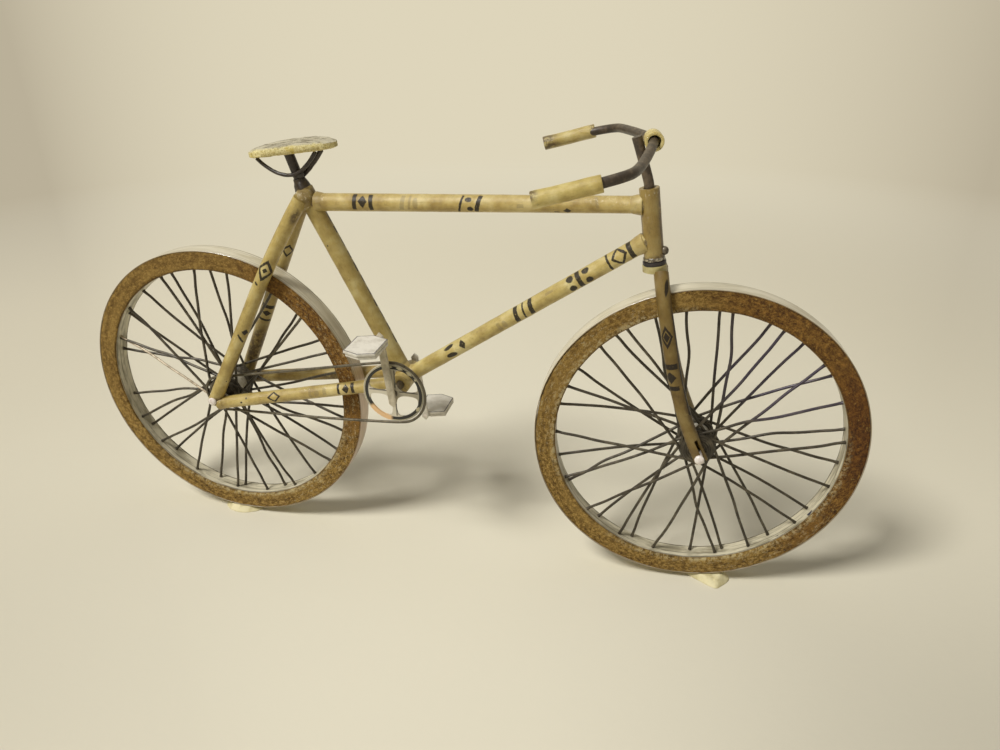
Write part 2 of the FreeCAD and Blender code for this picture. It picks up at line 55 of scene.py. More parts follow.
headFoot = pivotOf("steering")
headAxis = Vector(joints["steering"]["axis"]).normalized()
rearAxle = pivotOf("rear_wheel_spin")
frontAxle = pivotOf("front_wheel_spin")
bracket = pivotOf("crank_spin")
leftward = Vector((0, 1, 0))
upward = Vector((0, 0, 1))
headForward = Vector((headAxis.z, 0, -headAxis.x))


def rising(angle):  # unit vector in the frame's plane that rises backwards at this angle
    return Vector((-math.cos(math.radians(angle)), 0, math.sin(math.radians(angle))))


parking = {"steer": 5.5, "barTwist": 3.5}
cameraView = {"place": (76.19, -108.33, 90.85), "yaw": 14.09, "pitch": 27.02, "roll": -0.38,
              "lens": 28.303, "sensor": 36.0}


def steerTurn(extra=0.0):  # turn about the head axis, from straight ahead to the parked angle
    turn = Matrix.Rotation(math.radians(parking["steer"] + extra), 4, headAxis)
    return Matrix.Translation(headFoot) @ turn @ Matrix.Translation(-headFoot)


frontAxleStraight = steerTurn().inverted() @ frontAxle


# Selecting, placing and finishing pieces
def deselect():
    if bpy.context.object and bpy.context.object.mode != "OBJECT":
        bpy.ops.object.mode_set(mode="OBJECT")
    bpy.ops.object.select_all(action="DESELECT")


def pick(piece):
    deselect()
    piece.select_set(True)
    bpy.context.view_layer.objects.active = piece
    return piece


def selectFaces(piece, wanted):  # in edit mode afterwards, with the faces selected that the test accepts
    pick(piece)
    bpy.ops.object.mode_set(mode="EDIT")
    bpy.ops.mesh.select_all(action="DESELECT")
    bpy.ops.mesh.select_mode(type="FACE")
    bpy.ops.object.mode_set(mode="OBJECT")
    for face in piece.data.polygons:
        face.select = wanted(face)
    bpy.ops.object.mode_set(mode="EDIT")


def selectEdges(piece, wanted):
    pick(piece)
    bpy.ops.object.mode_set(mode="EDIT")
    bpy.ops.mesh.select_mode(type="EDGE")
    bpy.ops.mesh.select_all(action="DESELECT")
    bpy.ops.object.mode_set(mode="OBJECT")
    points = piece.data.vertices
    for edge in piece.data.edges:
        first, second = (points[index].co for index in edge.vertices)
        edge.select = wanted(first, second)
    bpy.ops.object.mode_set(mode="EDIT")


def objectMode():
    bpy.ops.object.mode_set(mode="OBJECT")


def facesOut():  # in edit mode: all normals point outwards, then back to object mode
    bpy.ops.mesh.select_all(action="SELECT")
    bpy.ops.mesh.normals_make_consistent(inside=False)
    objectMode()


def applyModifiers(piece):
    pick(piece)
    for modifier in list(piece.modifiers):
        bpy.ops.object.modifier_apply(modifier=modifier.name)


def roughen(piece, size, depth):  # uneven hand-made surface
    texture = bpy.data.textures.new(piece.name + "Grain", "CLOUDS")
    texture.noise_scale = size * mm
    modifier = piece.modifiers.new("grain", "DISPLACE")
    modifier.texture = texture
    modifier.strength = depth * mm
    modifier.mid_level = 0.5


def soften(piece, width, segments=2):
    modifier = piece.modifiers.new("edge", "BEVEL")
    modifier.width = width * mm
    modifier.segments = segments
    modifier.limit_method = "ANGLE"
    modifier.angle_limit = math.radians(40)


def applyPlace():
    bpy.ops.object.transform_apply(location=True, rotation=True, scale=True)


def named(name):  # the object that the last operator made, with its own name
    piece = bpy.context.object
    piece.name = piece.data.name = name
    return piece


def settle(piece, matrix):  # bake a place in millimetres into the mesh
    pick(piece)
    scaled = matrix.copy()
    scaled.translation = matrix.translation * mm
    piece.matrix_world = scaled @ piece.matrix_world
    applyPlace()


def dress(piece, matrix, edge=None, grain=None):  # break the edges, roughen it, then lay it in its place
    if edge:
        soften(piece, edge)
    if grain:
        roughen(piece, *grain)
    applyModifiers(piece)
    settle(piece, matrix)


def standing(start, end):  # matrix that lays +Z along a span, with +X turned towards the viewer
    along = (end - start).normalized()
    facing = Vector(cameraView["place"]) - (start + end) / 2
    facing = (facing - along * facing.dot(along)).normalized()
    basis = Matrix((facing, along.cross(facing), along)).transposed().to_4x4()
    return Matrix.Translation(start) @ basis


def finish(piece, body, material, slotName, *nodes, smoothAngle=35.0):
    applyModifiers(piece)
    bpy.ops.object.shade_smooth_by_angle(angle=math.radians(smoothAngle))
    if material:
        piece.data.materials.clear()
        piece.data.materials.append(material)
    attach(piece, body)
    if nodes:
        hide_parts(*nodes)
    deselect()
    return piece


# Materials
def fromPhoto(red, green, blue):  # a screen colour as the linear colour of the shader
    linear = [((part / 255 + 0.055) / 1.055) ** 2.4 if part > 10 else part / 255 / 12.92
              for part in (red, green, blue)]
    return (*linear, 1.0)


def addNode(material, kind, inputs=None, **settings):
    made = material.node_tree.nodes.new("ShaderNode" + kind)
    for key, value in settings.items():
        setattr(made, key, value)
    for key, value in (inputs or {}).items():
        if isinstance(value, bpy.types.NodeSocket):
            material.node_tree.links.new(value, made.inputs[key])
        else:
            made.inputs[key].default_value = value
    return made


def mixColour(material, factor, first, second, blend="MIX"):
    made = addNode(material, "Mix", {0: factor, 6: first, 7: second}, data_type="RGBA", blend_type=blend)
    return made.outputs[2]


def maths(material, operation, first, second=0.0, clamp=False):
    made = addNode(material, "Math", {0: first, 1: second}, operation=operation, use_clamp=clamp)
    return made.outputs[0]


def times(material, *factors):  # product of masks and numbers
    product = factors[0]
    for factor in factors[1:]:
        product = maths(material, "MULTIPLY", product, factor)
    return product


def apart(material, value, place):  # how far a value lies from a place
    return maths(material, "ABSOLUTE", maths(material, "SUBTRACT", value, place))


def paint(material, base, colour, *masks, blend="MIX"):  # lay a colour over the base where the masks allow
    return mixColour(material, times(material, *masks), base, colour, blend)


def vectorMath(material, operation, first, second=(0, 0, 0), output="Vector", **inputs):
    made = addNode(material, "VectorMath", {0: first, 1: second, **inputs}, operation=operation)
    return made.outputs[output]


def axes(material, vector):  # the vector's X, Y and Z
    return addNode(material, "SeparateXYZ", {0: vector}).outputs


def noise(material, vector, scale, detail=4.0, roughness=0.5, distortion=0.0):
    made = addNode(material, "TexNoise", {"Vector": vector, "Scale": scale, "Detail": detail,
                                          "Roughness": roughness, "Distortion": distortion})
    return made.outputs["Fac"]


def ramp(material, factor, *stops):
    made = addNode(material, "ValToRGB", {"Fac": factor})
    elements = made.color_ramp.elements
    while len(elements) < len(stops):
        elements.new(0.5)
    for element, (place, colour) in zip(elements, stops):
        element.position = place
        element.color = colour if len(colour) == 4 else (*colour, 1.0)
    return made.outputs["Color"]


def step(material, value, low, high):  # 0 below low, 1 above high
    made = addNode(material, "MapRange", {"Value": value, "From Min": low, "From Max": high},
                   interpolation_type="SMOOTHSTEP")
    return made.outputs["Result"]


def inMillimetres(material, scale=(1, 1, 1)):
    place = addNode(material, "TexCoord").outputs["Object"]
    grown = [part / mm for part in scale]
    return addNode(material, "Mapping", {"Vector": place, "Scale": grown}).outputs["Vector"]


def shader(name, roughness, metallic=0.0, **sockets):
    material = bpy.data.materials.new(name)
    material.use_nodes = True
    surface = material.node_tree.nodes["Principled BSDF"]
    surface.inputs["Roughness"].default_value = roughness
    surface.inputs["Metallic"].default_value = metallic
    for key, value in sockets.items():
        surface.inputs[key].default_value = value
    return material


def connect(material, key, socket):
    surface = material.node_tree.nodes["Principled BSDF"]
    material.node_tree.links.new(socket, surface.inputs[key])


def addBump(material, height, depth, strength=1.0, socket="Normal"):
    bump = addNode(material, "Bump", {"Height": height, "Distance": depth * mm, "Strength": strength})
    connect(material, socket, bump.outputs["Normal"])


paperLook = {
    "pale": fromPhoto(217, 202, 144), "body": fromPhoto(196, 175, 106), "aged": fromPhoto(158, 135, 70),
    "stain": fromPhoto(80, 60, 28), "ink": fromPhoto(22, 12, 4), "ghost": fromPhoto(118, 102, 70),
    "paintedGlint": fromPhoto(234, 224, 190), "seamAt": 2.6,
}


inkEdges = {  # where each kind of mark ends and where it is full, in shares of its half size
    "bar": (1.12, 0.9), "diamond": (1.1, 0.92), "lozenge": (0.24, 0.15), "dot": (1.15, 0.85),
    "stain": (1.0, 0.35),
}


def inkMark(material, paper, kind, along, around, length, width, turn):
    # one mark on the paper's own flat millimetres: bar, diamond, outlined lozenge, dot or soft stain
    local = addNode(material, "Mapping", {"Vector": paper, "Location": (along, around, 0),
                                          "Rotation": (0, 0, math.radians(turn)),
                                          "Scale": (length, width, 1)},
                    vector_type="TEXTURE").outputs["Vector"]
    if kind in ("dot", "stain"):
        reach = vectorMath(material, "LENGTH", local, output="Value")
    else:
        x, y, _ = axes(material, vectorMath(material, "ABSOLUTE", local))
        reach = maths(material, "MAXIMUM" if kind == "bar" else "ADD", x, y)
    if kind == "lozenge":
        reach = apart(material, reach, 0.84)
    return step(material, reach, *inkEdges[kind])


def markGroup(material, paper, marks):  # several marks as one mask
    mask = 0.0
    for mark in marks:
        mask = maths(material, "MAXIMUM", mask, inkMark(material, paper, *mark))
    return mask


def patchGroup(material, paper, zones):  # several soft patches as one mask
    return markGroup(material, paper, [("stain", *zone, 0) for zone in zones])


def paperMaterial(name, marks=(), shine=0.3, toneAndShade=(1, 1, 1), ghosts=(), stainsAndShade=(), paintedGlints=()):
    # varnished old paper: fibres run along the tube, ink marks lie on the sheet before it is rolled; the tint
    # and some patches also paint shade, and small glints paint highlights
    material = shader(name, 0.45, **{"Coat Weight": shine, "Coat Roughness": 0.1,
                                     "Specular IOR Level": 0.4})
    flat = addNode(material, "TexCoord").outputs["UV"]
    place = inMillimetres(material)
    drawnOut = addNode(material, "Mapping", {"Vector": flat, "Scale": (0.7, 3.6, 1)}).outputs[0]
    fibres = noise(material, drawnOut, 1.6, 6.0, 0.65)
    clouds = noise(material, place, 0.3, 4.0, 0.6)
    blotches = noise(material, place, 1.1, 5.0, 0.62, 0.4)
    base = ramp(material, clouds, (0.34, paperLook["pale"]), (0.5, paperLook["body"]),
                (0.7, paperLook["aged"]))
    base = paint(material, base, paperLook["aged"], step(material, fibres, 0.5, 0.8), 0.5, blend="MULTIPLY")
    base = paint(material, base, paperLook["stain"], step(material, blotches, 0.6, 0.78), 0.4)
    # The colour multiplied over the paper is the piece's own tint, and on tubes turned away from the light or
    # lying on the far side it is also painted shade.
    base = paint(material, base, (*toneAndShade, 1.0), 1.0, blend="MULTIPLY")
    seam = axes(material, flat)["Y"]
    # Painted shade: a dark line along the seam where the sheet's edge steps over the layer beneath.
    edge = step(material, apart(material, seam, paperLook["seamAt"]), 0.09, 0.02)
    base = paint(material, base, paperLook["stain"], edge, 0.55)
    ragged = addNode(material, "TexNoise", {"Vector": flat, "Scale": 2.4, "Detail": 3.0}).outputs["Color"]
    shift = vectorMath(material, "SUBTRACT", ragged, (0.5, 0.5, 0.5))
    paper = vectorMath(material, "ADD", flat, vectorMath(material, "SCALE", shift, Scale=0.22))
    if ghosts:  # print that shows through from the layer beneath
        base = paint(material, base, paperLook["ghost"], markGroup(material, paper, ghosts), 0.42)
    if stainsAndShade:  # glue soaked in at the joints, and painted shade in long patches down the sides of some tubes
        patchy = step(material, noise(material, place, 1.3, 5.0, 0.7), 0.3, 0.56)
        base = paint(material, base, paperLook["stain"], patchGroup(material, paper, stainsAndShade), patchy, 0.9)
    if marks:
        worn = step(material, noise(material, flat, 4.0, 4.0, 0.7), 0.26, 0.42)
        ink = times(material, markGroup(material, paper, marks), worn, 0.97)
        base = paint(material, base, paperLook["ink"], ink)
        bare = maths(material, "SUBTRACT", 1.0, times(material, ink, 0.9))  # ink lies dull on the varnish
        connect(material, "Coat Weight", times(material, bare, shine))
    if paintedGlints:  # painted highlights, small glints of light on the varnish
        glintSpecks = step(material, noise(material, place, 2.8, 4.0, 0.6), 0.54, 0.66)
        base = paint(material, base, paperLook["paintedGlint"], patchGroup(material, paper, paintedGlints), glintSpecks, 0.45)
    connect(material, "Base Color", base)
    roll = times(material, step(material, seam, paperLook["seamAt"], paperLook["seamAt"] + 0.04), 2.0)
    lumps = noise(material, place, 2.6, 6.0, 0.7)
    addBump(material, maths(material, "ADD", maths(material, "ADD", roll, lumps), fibres), 0.05, 0.8)
    addBump(material, noise(material, place, 2.4, 4.0, 0.65), 0.3, socket="Coat Normal")
    return material


boardLook = {
    "dark": fromPhoto(56, 35, 9), "body": fromPhoto(119, 90, 37), "pale": fromPhoto(186, 153, 82),
    "scuff": fromPhoto(200, 184, 138), "redder": (0.7, 0.56, 0.4, 1.0), "dirt": fromPhoto(56, 42, 22),
}


def wheelSpace(material, centre, axle):
    # for a pattern that follows a wheel: across its width, out from its axle, and the direction round it
    local = vectorMath(material, "SUBTRACT", inMillimetres(material), centre)
    across = vectorMath(material, "DOT_PRODUCT", local, axle, output="Value")
    radial = vectorMath(material, "SUBTRACT", local, vectorMath(material, "SCALE", axle, Scale=across))
    return {"across": across, "reach": vectorMath(material, "LENGTH", radial, output="Value"),
            "round": vectorMath(material, "NORMALIZE", radial), "axle": axle}


def roundNoise(material, space, along, out, detail=5.0, roughness=0.65):
    # noise drawn out round the wheel: cells per millimetre along it and out from it
    ring = vectorMath(material, "SCALE", space["round"], Scale=wheel["outer"] * along)
    layer = times(material, maths(material, "ADD", space["reach"], space["across"]), out)
    layer = vectorMath(material, "SCALE", space["axle"], Scale=layer)
    return noise(material, vectorMath(material, "ADD", ring, layer), 1.0, detail, roughness)


def sector(material, space, angle, half, soft=14):
    # 1 within half degrees of an angle round the wheel, counted from the front over the top
    towards = (math.cos(math.radians(angle)), 0, math.sin(math.radians(angle)))
    share = vectorMath(material, "DOT_PRODUCT", space["round"], towards, output="Value")
    return step(material, share, math.cos(math.radians(min(half + soft, 179))),
                math.cos(math.radians(max(half - soft, 0))))


def boardMaterial(name, space, look):
    # cut face of thick board: fibres run round it, redder or rubbed pale in places
    material = shader(name, 0.8, **{"Specular IOR Level": 0.35})
    space = wheelSpace(material, *space)
    outer, inner, reach = wheel["outer"], wheel["inner"], space["reach"]
    grains = roundNoise(material, space, 1.3, 1.9, 10.0, 0.9)
    streaks = roundNoise(material, space, 0.12, 0.7, 3.0, 0.5)
    base = ramp(material, grains, (0.4, boardLook["dark"]), (0.49, boardLook["body"]),
                (0.58, boardLook["pale"]))
    base = paint(material, base, boardLook["body"], sector(material, space, *look["smooth"]), 0.35)
    base = paint(material, base, boardLook["pale"], step(material, streaks, 0.45, 0.62), 0.25)
    for zone in look["redder"]:
        base = paint(material, base, boardLook["redder"], sector(material, space, *zone), blend="MULTIPLY")
    flecks = step(material, noise(material, inMillimetres(material), 2.2, 4.0, 0.6), 0.6, 0.68)
    base = paint(material, base, boardLook["pale"], flecks, 0.45)
    scuffs = step(material, roundNoise(material, space, 0.9, 1.8, 9.0, 0.85), 0.54, 0.6)
    for zone in look["scuffed"]:
        base = paint(material, base, boardLook["scuff"], scuffs, 0.6, sector(material, space, *zone))
    nearHole = step(material, reach, inner + 1.1, inner + 0.2)
    fuzz = step(material, roundNoise(material, space, 1.4, 1.4, 8.0, 0.8), 0.46, 0.58)
    for zone in look["rubbed"]:
        base = paint(material, base, boardLook["scuff"], nearHole, fuzz, 0.8, sector(material, space, *zone))
    rims = maths(material, "MAXIMUM", step(material, reach, outer - 0.3, outer),
                 step(material, reach, inner + 0.25, inner))
    ragged = step(material, roundNoise(material, space, 0.4, 0.3), 0.42, 0.6)
    base = paint(material, base, boardLook["dirt"], rims, ragged, 0.75)
    connect(material, "Base Color", base)
    addBump(material, maths(material, "ADD", grains, streaks), 0.2, 1.0)
    return material


stripLook = {
    "pale": fromPhoto(214, 206, 182), "worn": fromPhoto(184, 174, 144), "line": fromPhoto(120, 112, 90),
    "lining": fromPhoto(204, 196, 170), "shade": fromPhoto(150, 142, 117), "dark": fromPhoto(58, 50, 36),
    "blue": fromPhoto(20, 22, 50), "pink": (1.0, 0.8, 0.76, 1.0),
}


def edgeOn(material, base, axle):  # a strip's cut edges have taken the board's brown
    normal = addNode(material, "NewGeometry").outputs["Normal"]
    facing = vectorMath(material, "DOT_PRODUCT", normal, axle, output="Value")
    cut = step(material, maths(material, "ABSOLUTE", facing), 0.6, 0.85)
    return paint(material, base, boardLook["body"], cut)


def layerLines(material, space, base, colour, across, lines, fade, broken):
    # lines round a wheel, each at its place across it and with its strength, broken up along their length
    for place, depth in lines:
        line = step(material, apart(material, across, place), *fade)
        whole = step(material, roundNoise(material, space, *broken), 0.36, 0.5)
        base = paint(material, base, colour, line, whole, depth)
    return base


def treadMaterial(name, space, pinkAt=None):
    # glossy white strip round the outside, with the lines of its layers along both edges
    material = shader(name, 0.3, **{"Coat Weight": 0.6, "Coat Roughness": 0.1})
    space = wheelSpace(material, *space)
    dirt = roundNoise(material, space, 0.12, 0.5, 4.0, 0.6)
    base = mixColour(material, step(material, dirt, 0.42, 0.7), stripLook["pale"], stripLook["worn"])
    wide = maths(material, "ABSOLUTE", space["across"])
    base = layerLines(material, space, base, stripLook["line"], wide, ((0.95, 0.4), (1.5, 0.8)), (0.12, 0.04),
                      (0.1, 0.0))
    if pinkAt:
        base = paint(material, base, stripLook["pink"], sector(material, space, *pinkAt), blend="MULTIPLY")
    connect(material, "Base Color", edgeOn(material, base, space["axle"]))
    addBump(material, dirt, 0.2, 0.6)
    return material


def rimMaterial(name, space, specksAt=None):
    # strip glued inside the ring: dark lines along it, painted shade in the gaps where it meets the board and
    # the strip's own edges, ink specks along one stretch
    material = shader(name, 0.5, **{"Coat Weight": 0.15, "Coat Roughness": 0.2})
    space = wheelSpace(material, *space)
    dirt = roundNoise(material, space, 0.2, 0.8, 4.0, 0.6)
    base = mixColour(material, step(material, dirt, 0.42, 0.66), stripLook["lining"], stripLook["shade"])
    half = wheel["width"] / 2
    # The outer two lines are painted shade in the gaps against the board, the inner two the strip's own
    # edges.
    lines = ((-half + 0.34, 0.8), (-half + 1.25, 0.6), (0.4, 0.3), (half - 0.3, 0.85))
    base = layerLines(material, space, base, stripLook["dark"], space["across"], lines, (0.14, 0.05),
                      (0.16, 0.2))
    if specksAt:
        specks = step(material, roundNoise(material, space, 0.42, 0.3, 2.0, 0.5), 0.55, 0.59)
        near = step(material, space["across"], -half + 1.0, -half + 0.75)
        base = paint(material, base, stripLook["blue"], specks, near, sector(material, space, *specksAt))
    connect(material, "Base Color", edgeOn(material, base, space["axle"]))
    addBump(material, dirt, 0.1, 0.8)
    return material


def wornMaterial(material, body, worn, scale, bumps, depth):  # one colour, worn or dirty in soft patches
    place = inMillimetres(material)
    rub = step(material, noise(material, place, scale, 5.0, 0.65), 0.42, 0.68)
    connect(material, "Base Color", mixColour(material, rub, body, worn))
    addBump(material, noise(material, place, *bumps), depth, 0.8)
    return material


def stripMaterial(name, pale, worn, roughness, coat):
    # white card or paper with soft dirt
    material = shader(name, roughness, **{"Coat Weight": coat, "Coat Roughness": 0.12})
    return wornMaterial(material, pale, worn, 0.5, (1.6, 5.0, 0.6), 0.08)


def rodMaterial(name, body, worn, roughness, metallic, coat, scale):
    # painted or bare rod with rubbed spots
    material = shader(name, roughness, metallic, **{"Coat Weight": coat, "Coat Roughness": 0.2})
    return wornMaterial(material, body, worn, scale, (4.0, 5.0, 0.7), 0.05)


def spokeMaterial(name, space, violetReflectionAt=None):
    # dull wire with paler rubbed stretches, and a painted purple reflection on the outer spokes of one
    # stretch near the top
    material = shader(name, 0.42, 0.3, **{"Coat Weight": 0.15, "Coat Roughness": 0.2})
    rub = noise(material, inMillimetres(material), 0.5, 5.0, 0.65)
    base = mixColour(material, step(material, rub, 0.42, 0.7), fromPhoto(58, 52, 41), fromPhoto(96, 88, 71))
    if violetReflectionAt:
        space = wheelSpace(material, *space)
        # Painted reflection: a purple tint on the outer part of the spokes in one stretch of the wheel.
        base = paint(material, base, fromPhoto(62, 52, 84), sector(material, space, *violetReflectionAt),
                     step(material, space["reach"], 6.0, 12.0), 0.5)
    connect(material, "Base Color", base)
    return material


materials = {
    "hub": stripMaterial("hubPaper", fromPhoto(206, 200, 184), fromPhoto(150, 140, 116), 0.6, 0.1),
    "pin": stripMaterial("pinPaint", fromPhoto(238, 230, 222), fromPhoto(214, 200, 188), 0.4, 0.3),
    "silver": rodMaterial("bareSpoke", fromPhoto(196, 182, 160), fromPhoto(150, 136, 116), 0.35, 0.5, 0.1,
                          1.0),
    "chain": rodMaterial("chainWire", fromPhoto(104, 97, 80), fromPhoto(70, 64, 51), 0.4, 0.4, 0.1, 1.2),
    "dark": rodMaterial("darkRod", fromPhoto(38, 29, 25), fromPhoto(62, 51, 42), 0.42, 0.0, 0.2, 1.4),
    "bar": rodMaterial("barRod", fromPhoto(56, 46, 36), fromPhoto(98, 84, 66), 0.46, 0.1, 0.1, 0.6),
    "washer": rodMaterial("blackWasher", fromPhoto(24, 20, 22), fromPhoto(50, 44, 44), 0.45, 0.0, 0.2, 2.0),
    "bead": rodMaterial("beadMetal", fromPhoto(112, 104, 90), fromPhoto(70, 62, 52), 0.4, 0.5, 0.1, 2.0),
    "glue": rodMaterial("driedGlue", fromPhoto(32, 22, 14), fromPhoto(54, 42, 27), 0.3, 0.0, 0.25, 1.6),
    "crust": rodMaterial("glueCrust", fromPhoto(64, 54, 38), fromPhoto(186, 176, 150), 0.3, 0.0, 0.6, 2.2),
    "putty": stripMaterial("softPutty", fromPhoto(224, 214, 172), fromPhoto(198, 186, 138), 0.7, 0.0),
    "card": stripMaterial("paleCard", fromPhoto(224, 219, 206), fromPhoto(200, 193, 178), 0.6, 0.05),
    "crank": stripMaterial("greyCard", fromPhoto(206, 196, 172), fromPhoto(168, 158, 134), 0.6, 0.05),
    "pencil": rodMaterial("pencilEdge", fromPhoto(96, 92, 88), fromPhoto(150, 145, 138), 0.5, 0.0, 0.0, 2.5),
}
print("materials made")


# Shapes that several pieces share
def addRound(name, width, length, endWidth=None, sides=40, rings=1):
    # closed round body along +Z from the origin, with rings of faces along its length
    deselect()
    far = width if endWidth is None else endWidth
    bpy.ops.mesh.primitive_cone_add(vertices=sides, radius1=width / 2 * mm, radius2=far / 2 * mm,
                                    depth=length * mm, location=(0, 0, length / 2 * mm))
    piece = named(name)
    applyPlace()
    if rings > 1:
        selectEdges(piece, lambda first, second: abs(first.z - second.z) > length * mm / 2)
        bpy.ops.mesh.subdivide(number_cuts=rings - 1)
        objectMode()
    return piece


def hollowEnd(piece, top, wall, depth):  # open one end of a paper roll
    height = max(point.co.z for point in piece.data.vertices) if top else 0.0
    selectFaces(piece, lambda face: abs(face.center.z - height) < 0.01 * mm and abs(face.normal.z) > 0.9)
    bpy.ops.mesh.inset(thickness=wall * mm)
    sign = -1 if top else 1
    bpy.ops.mesh.extrude_region_move(TRANSFORM_OT_translate={"value": (0, 0, sign * depth * mm)})
    objectMode()


def rollOut(piece, width):  # lay the sheet's own millimetres on a roll: along it, and round it from the seam
    sheet = piece.data.uv_layers.new(name="sheet") if not piece.data.uv_layers else piece.data.uv_layers[0]
    for face in piece.data.polygons:
        middle = math.atan2(face.center.y, face.center.x)
        for loop in face.loop_indices:
            point = piece.data.vertices[piece.data.loops[loop].vertex_index].co
            turn = math.atan2(point.y, point.x)
            turn += 2 * math.pi * round((middle - turn) / (2 * math.pi))
            sheet.data[loop].uv = (point.z / mm, turn * width / 2)


paperRoll = {"sides": 40, "ringEvery": 0.8, "openDepth": 1.6, "edge": 0.07, "grain": 1.6}


def paperTube(name, start, end, width, body, nodes, endWidth=None, turn=None, openEnds=(), wall=0.3,
              uneven=0.07, **look):
    # rolled paper tube between two points, with its own printed marks
    length = (end - start).length
    rings = max(4, int(length / paperRoll["ringEvery"]))
    piece = addRound(name, width, length, endWidth, paperRoll["sides"], rings)
    for top in openEnds:
        hollowEnd(piece, top, wall, paperRoll["openDepth"])
    rollOut(piece, width)
    place = standing(start, end)
    dress(piece, turn @ place if turn else place, paperRoll["edge"], (paperRoll["grain"], uneven))
    return finish(piece, body, paperMaterial(name + "Paper", **look), "tube_paper", *nodes)


def glueFillet(name, joint, run, size, material=None, uneven=0.16):
    # varnish and glue built up where a tube is joined: start and end along its run, and the two widths
    near, far, width, endWidth = size
    start, end = joint + run * near, joint + run * far
    piece = addRound(name, width, (end - start).length, endWidth, 36, 6)
    rollOut(piece, endWidth)
    dress(piece, standing(start, end), 0.12, (0.8, uneven))
    if not material:
        material = paperMaterial(name + "Varnish", shine=0.8, toneAndShade=(0.78, 0.74, 0.66))
    return finish(piece, "root", material, "glue", smoothAngle=60)


def addBlob(name, place, size, material):  # lump of dried glue
    deselect()
    bpy.ops.mesh.primitive_ico_sphere_add(subdivisions=4, radius=mm / 2)
    blob = named(name)
    bpy.ops.transform.resize(value=size)
    applyPlace()
    blob.data.uv_layers.active.name = "sheet"
    dress(blob, Matrix.Translation(place), grain=(0.35 * max(size), 0.12 * max(size)))
    return finish(blob, "root", material, "glue", smoothAngle=70)


def bentRod(name, route, width, sides=6, smoothness=10, cyclic=False, endSwell=1.0):
    # rod or wire along a route of corner points
    deselect()
    bpy.ops.curve.primitive_nurbs_path_add(radius=mm, location=(0, 0, 0))
    piece = named(name)
    piece.data.splines.clear()
    addSpline(piece.data, route, smoothness, cyclic, endSwell)
    piece.data.dimensions = "3D"
    piece.data.bevel_depth = width / 2 * mm
    piece.data.bevel_resolution = sides
    piece.data.use_fill_caps = not cyclic
    return piece


def addSpline(curve, route, smoothness=10, cyclic=False, endSwell=1.0):
    spline = curve.splines.new("NURBS")
    spline.points.add(len(route) - 1)
    for point, place in zip(spline.points, route):
        point.co = (*(Vector(place) * mm), 1.0)
    spline.points[-1].radius = endSwell
    spline.order_u = 3
    spline.use_endpoint_u = not cyclic
    spline.use_cyclic_u = cyclic
    spline.resolution_u = smoothness


def toMesh(piece):
    pick(piece)
    bpy.ops.object.convert(target="MESH")
    return bpy.context.object


def alongRoute(piece, route, width):
    # the sheet's millimetres on a bent tube: distance along its straight runs, and round it
    sheet = piece.data.uv_layers[0] if piece.data.uv_layers else piece.data.uv_layers.new(name="sheet")
    frames = []
    gone = 0.0
    for first, second in zip(route, route[1:]):
        frames.append((first, second - first, gone))
        gone += (second - first).length
    for face in piece.data.polygons:
        first, span, before = min(frames, key=lambda one: lineDistance(face.center / mm, one[0], one[1]))
        basis = standing(first, first + span).to_3x3()
        along, facing, side = basis.col[2], basis.col[0], basis.col[1]
        offset = face.center / mm - first
        middle = math.atan2(offset.dot(side), offset.dot(facing))
        for loop in face.loop_indices:
            offset = piece.data.vertices[piece.data.loops[loop].vertex_index].co / mm - first
            turn = math.atan2(offset.dot(side), offset.dot(facing))
            turn += 2 * math.pi * round((middle - turn) / (2 * math.pi))
            sheet.data[loop].uv = (before + offset.dot(along), turn * width / 2)


def lineDistance(point, first, span):
    share = max(0.0, min(1.0, (point - first).dot(span) / span.length_squared))
    return (point - first - span * share).length


# Camera and stage
def addCamera():
    yaw, pitch = math.radians(cameraView["yaw"]), math.radians(cameraView["pitch"])
    sight = Vector((-math.sin(yaw) * math.cos(pitch), math.cos(yaw) * math.cos(pitch), -math.sin(pitch)))
    right = sight.cross(upward).normalized()
    above = right.cross(sight)
    basis = Matrix((right, above, -sight)).transposed().to_4x4()
    turn = basis @ Matrix.Rotation(math.radians(cameraView["roll"]), 4, "Z")
    deselect()
    bpy.ops.object.camera_add(location=Vector(cameraView["place"]) * mm, rotation=turn.to_euler())
    camera = bpy.context.object
    camera.data.lens = cameraView["lens"]
    camera.data.sensor_width = cameraView["sensor"]
    camera.data.clip_start = mm
    bpy.context.scene.camera = camera


# edges is the colour of the painted shade at the far sides; shades are painted pools of shade, each with its
# place, reach and depth
floorLook = {
    "half": 1500, "front": -700, "bendAt": 520, "bend": 300, "steps": 12, "height": 1200,
    "colour": fromPhoto(224, 218, 198), "far": fromPhoto(222, 213, 187), "edges": fromPhoto(186, 176, 153),
    "middle": (48, 8, 0), "from": (76, -108), "brightAt": -0.32, "brightHalf": 0.64,
    "fadeFrom": 35, "fadeTo": 330, "litTo": 115, "plainFrom": 300, "shallow": 50, "evenTo": (-110, -50),
    "shades": [((128, -34, 0), 70, 0.22), ((-30, -52, 0), 74, 0.12), ((-80, 10, 0), 90, 0.06)],
}


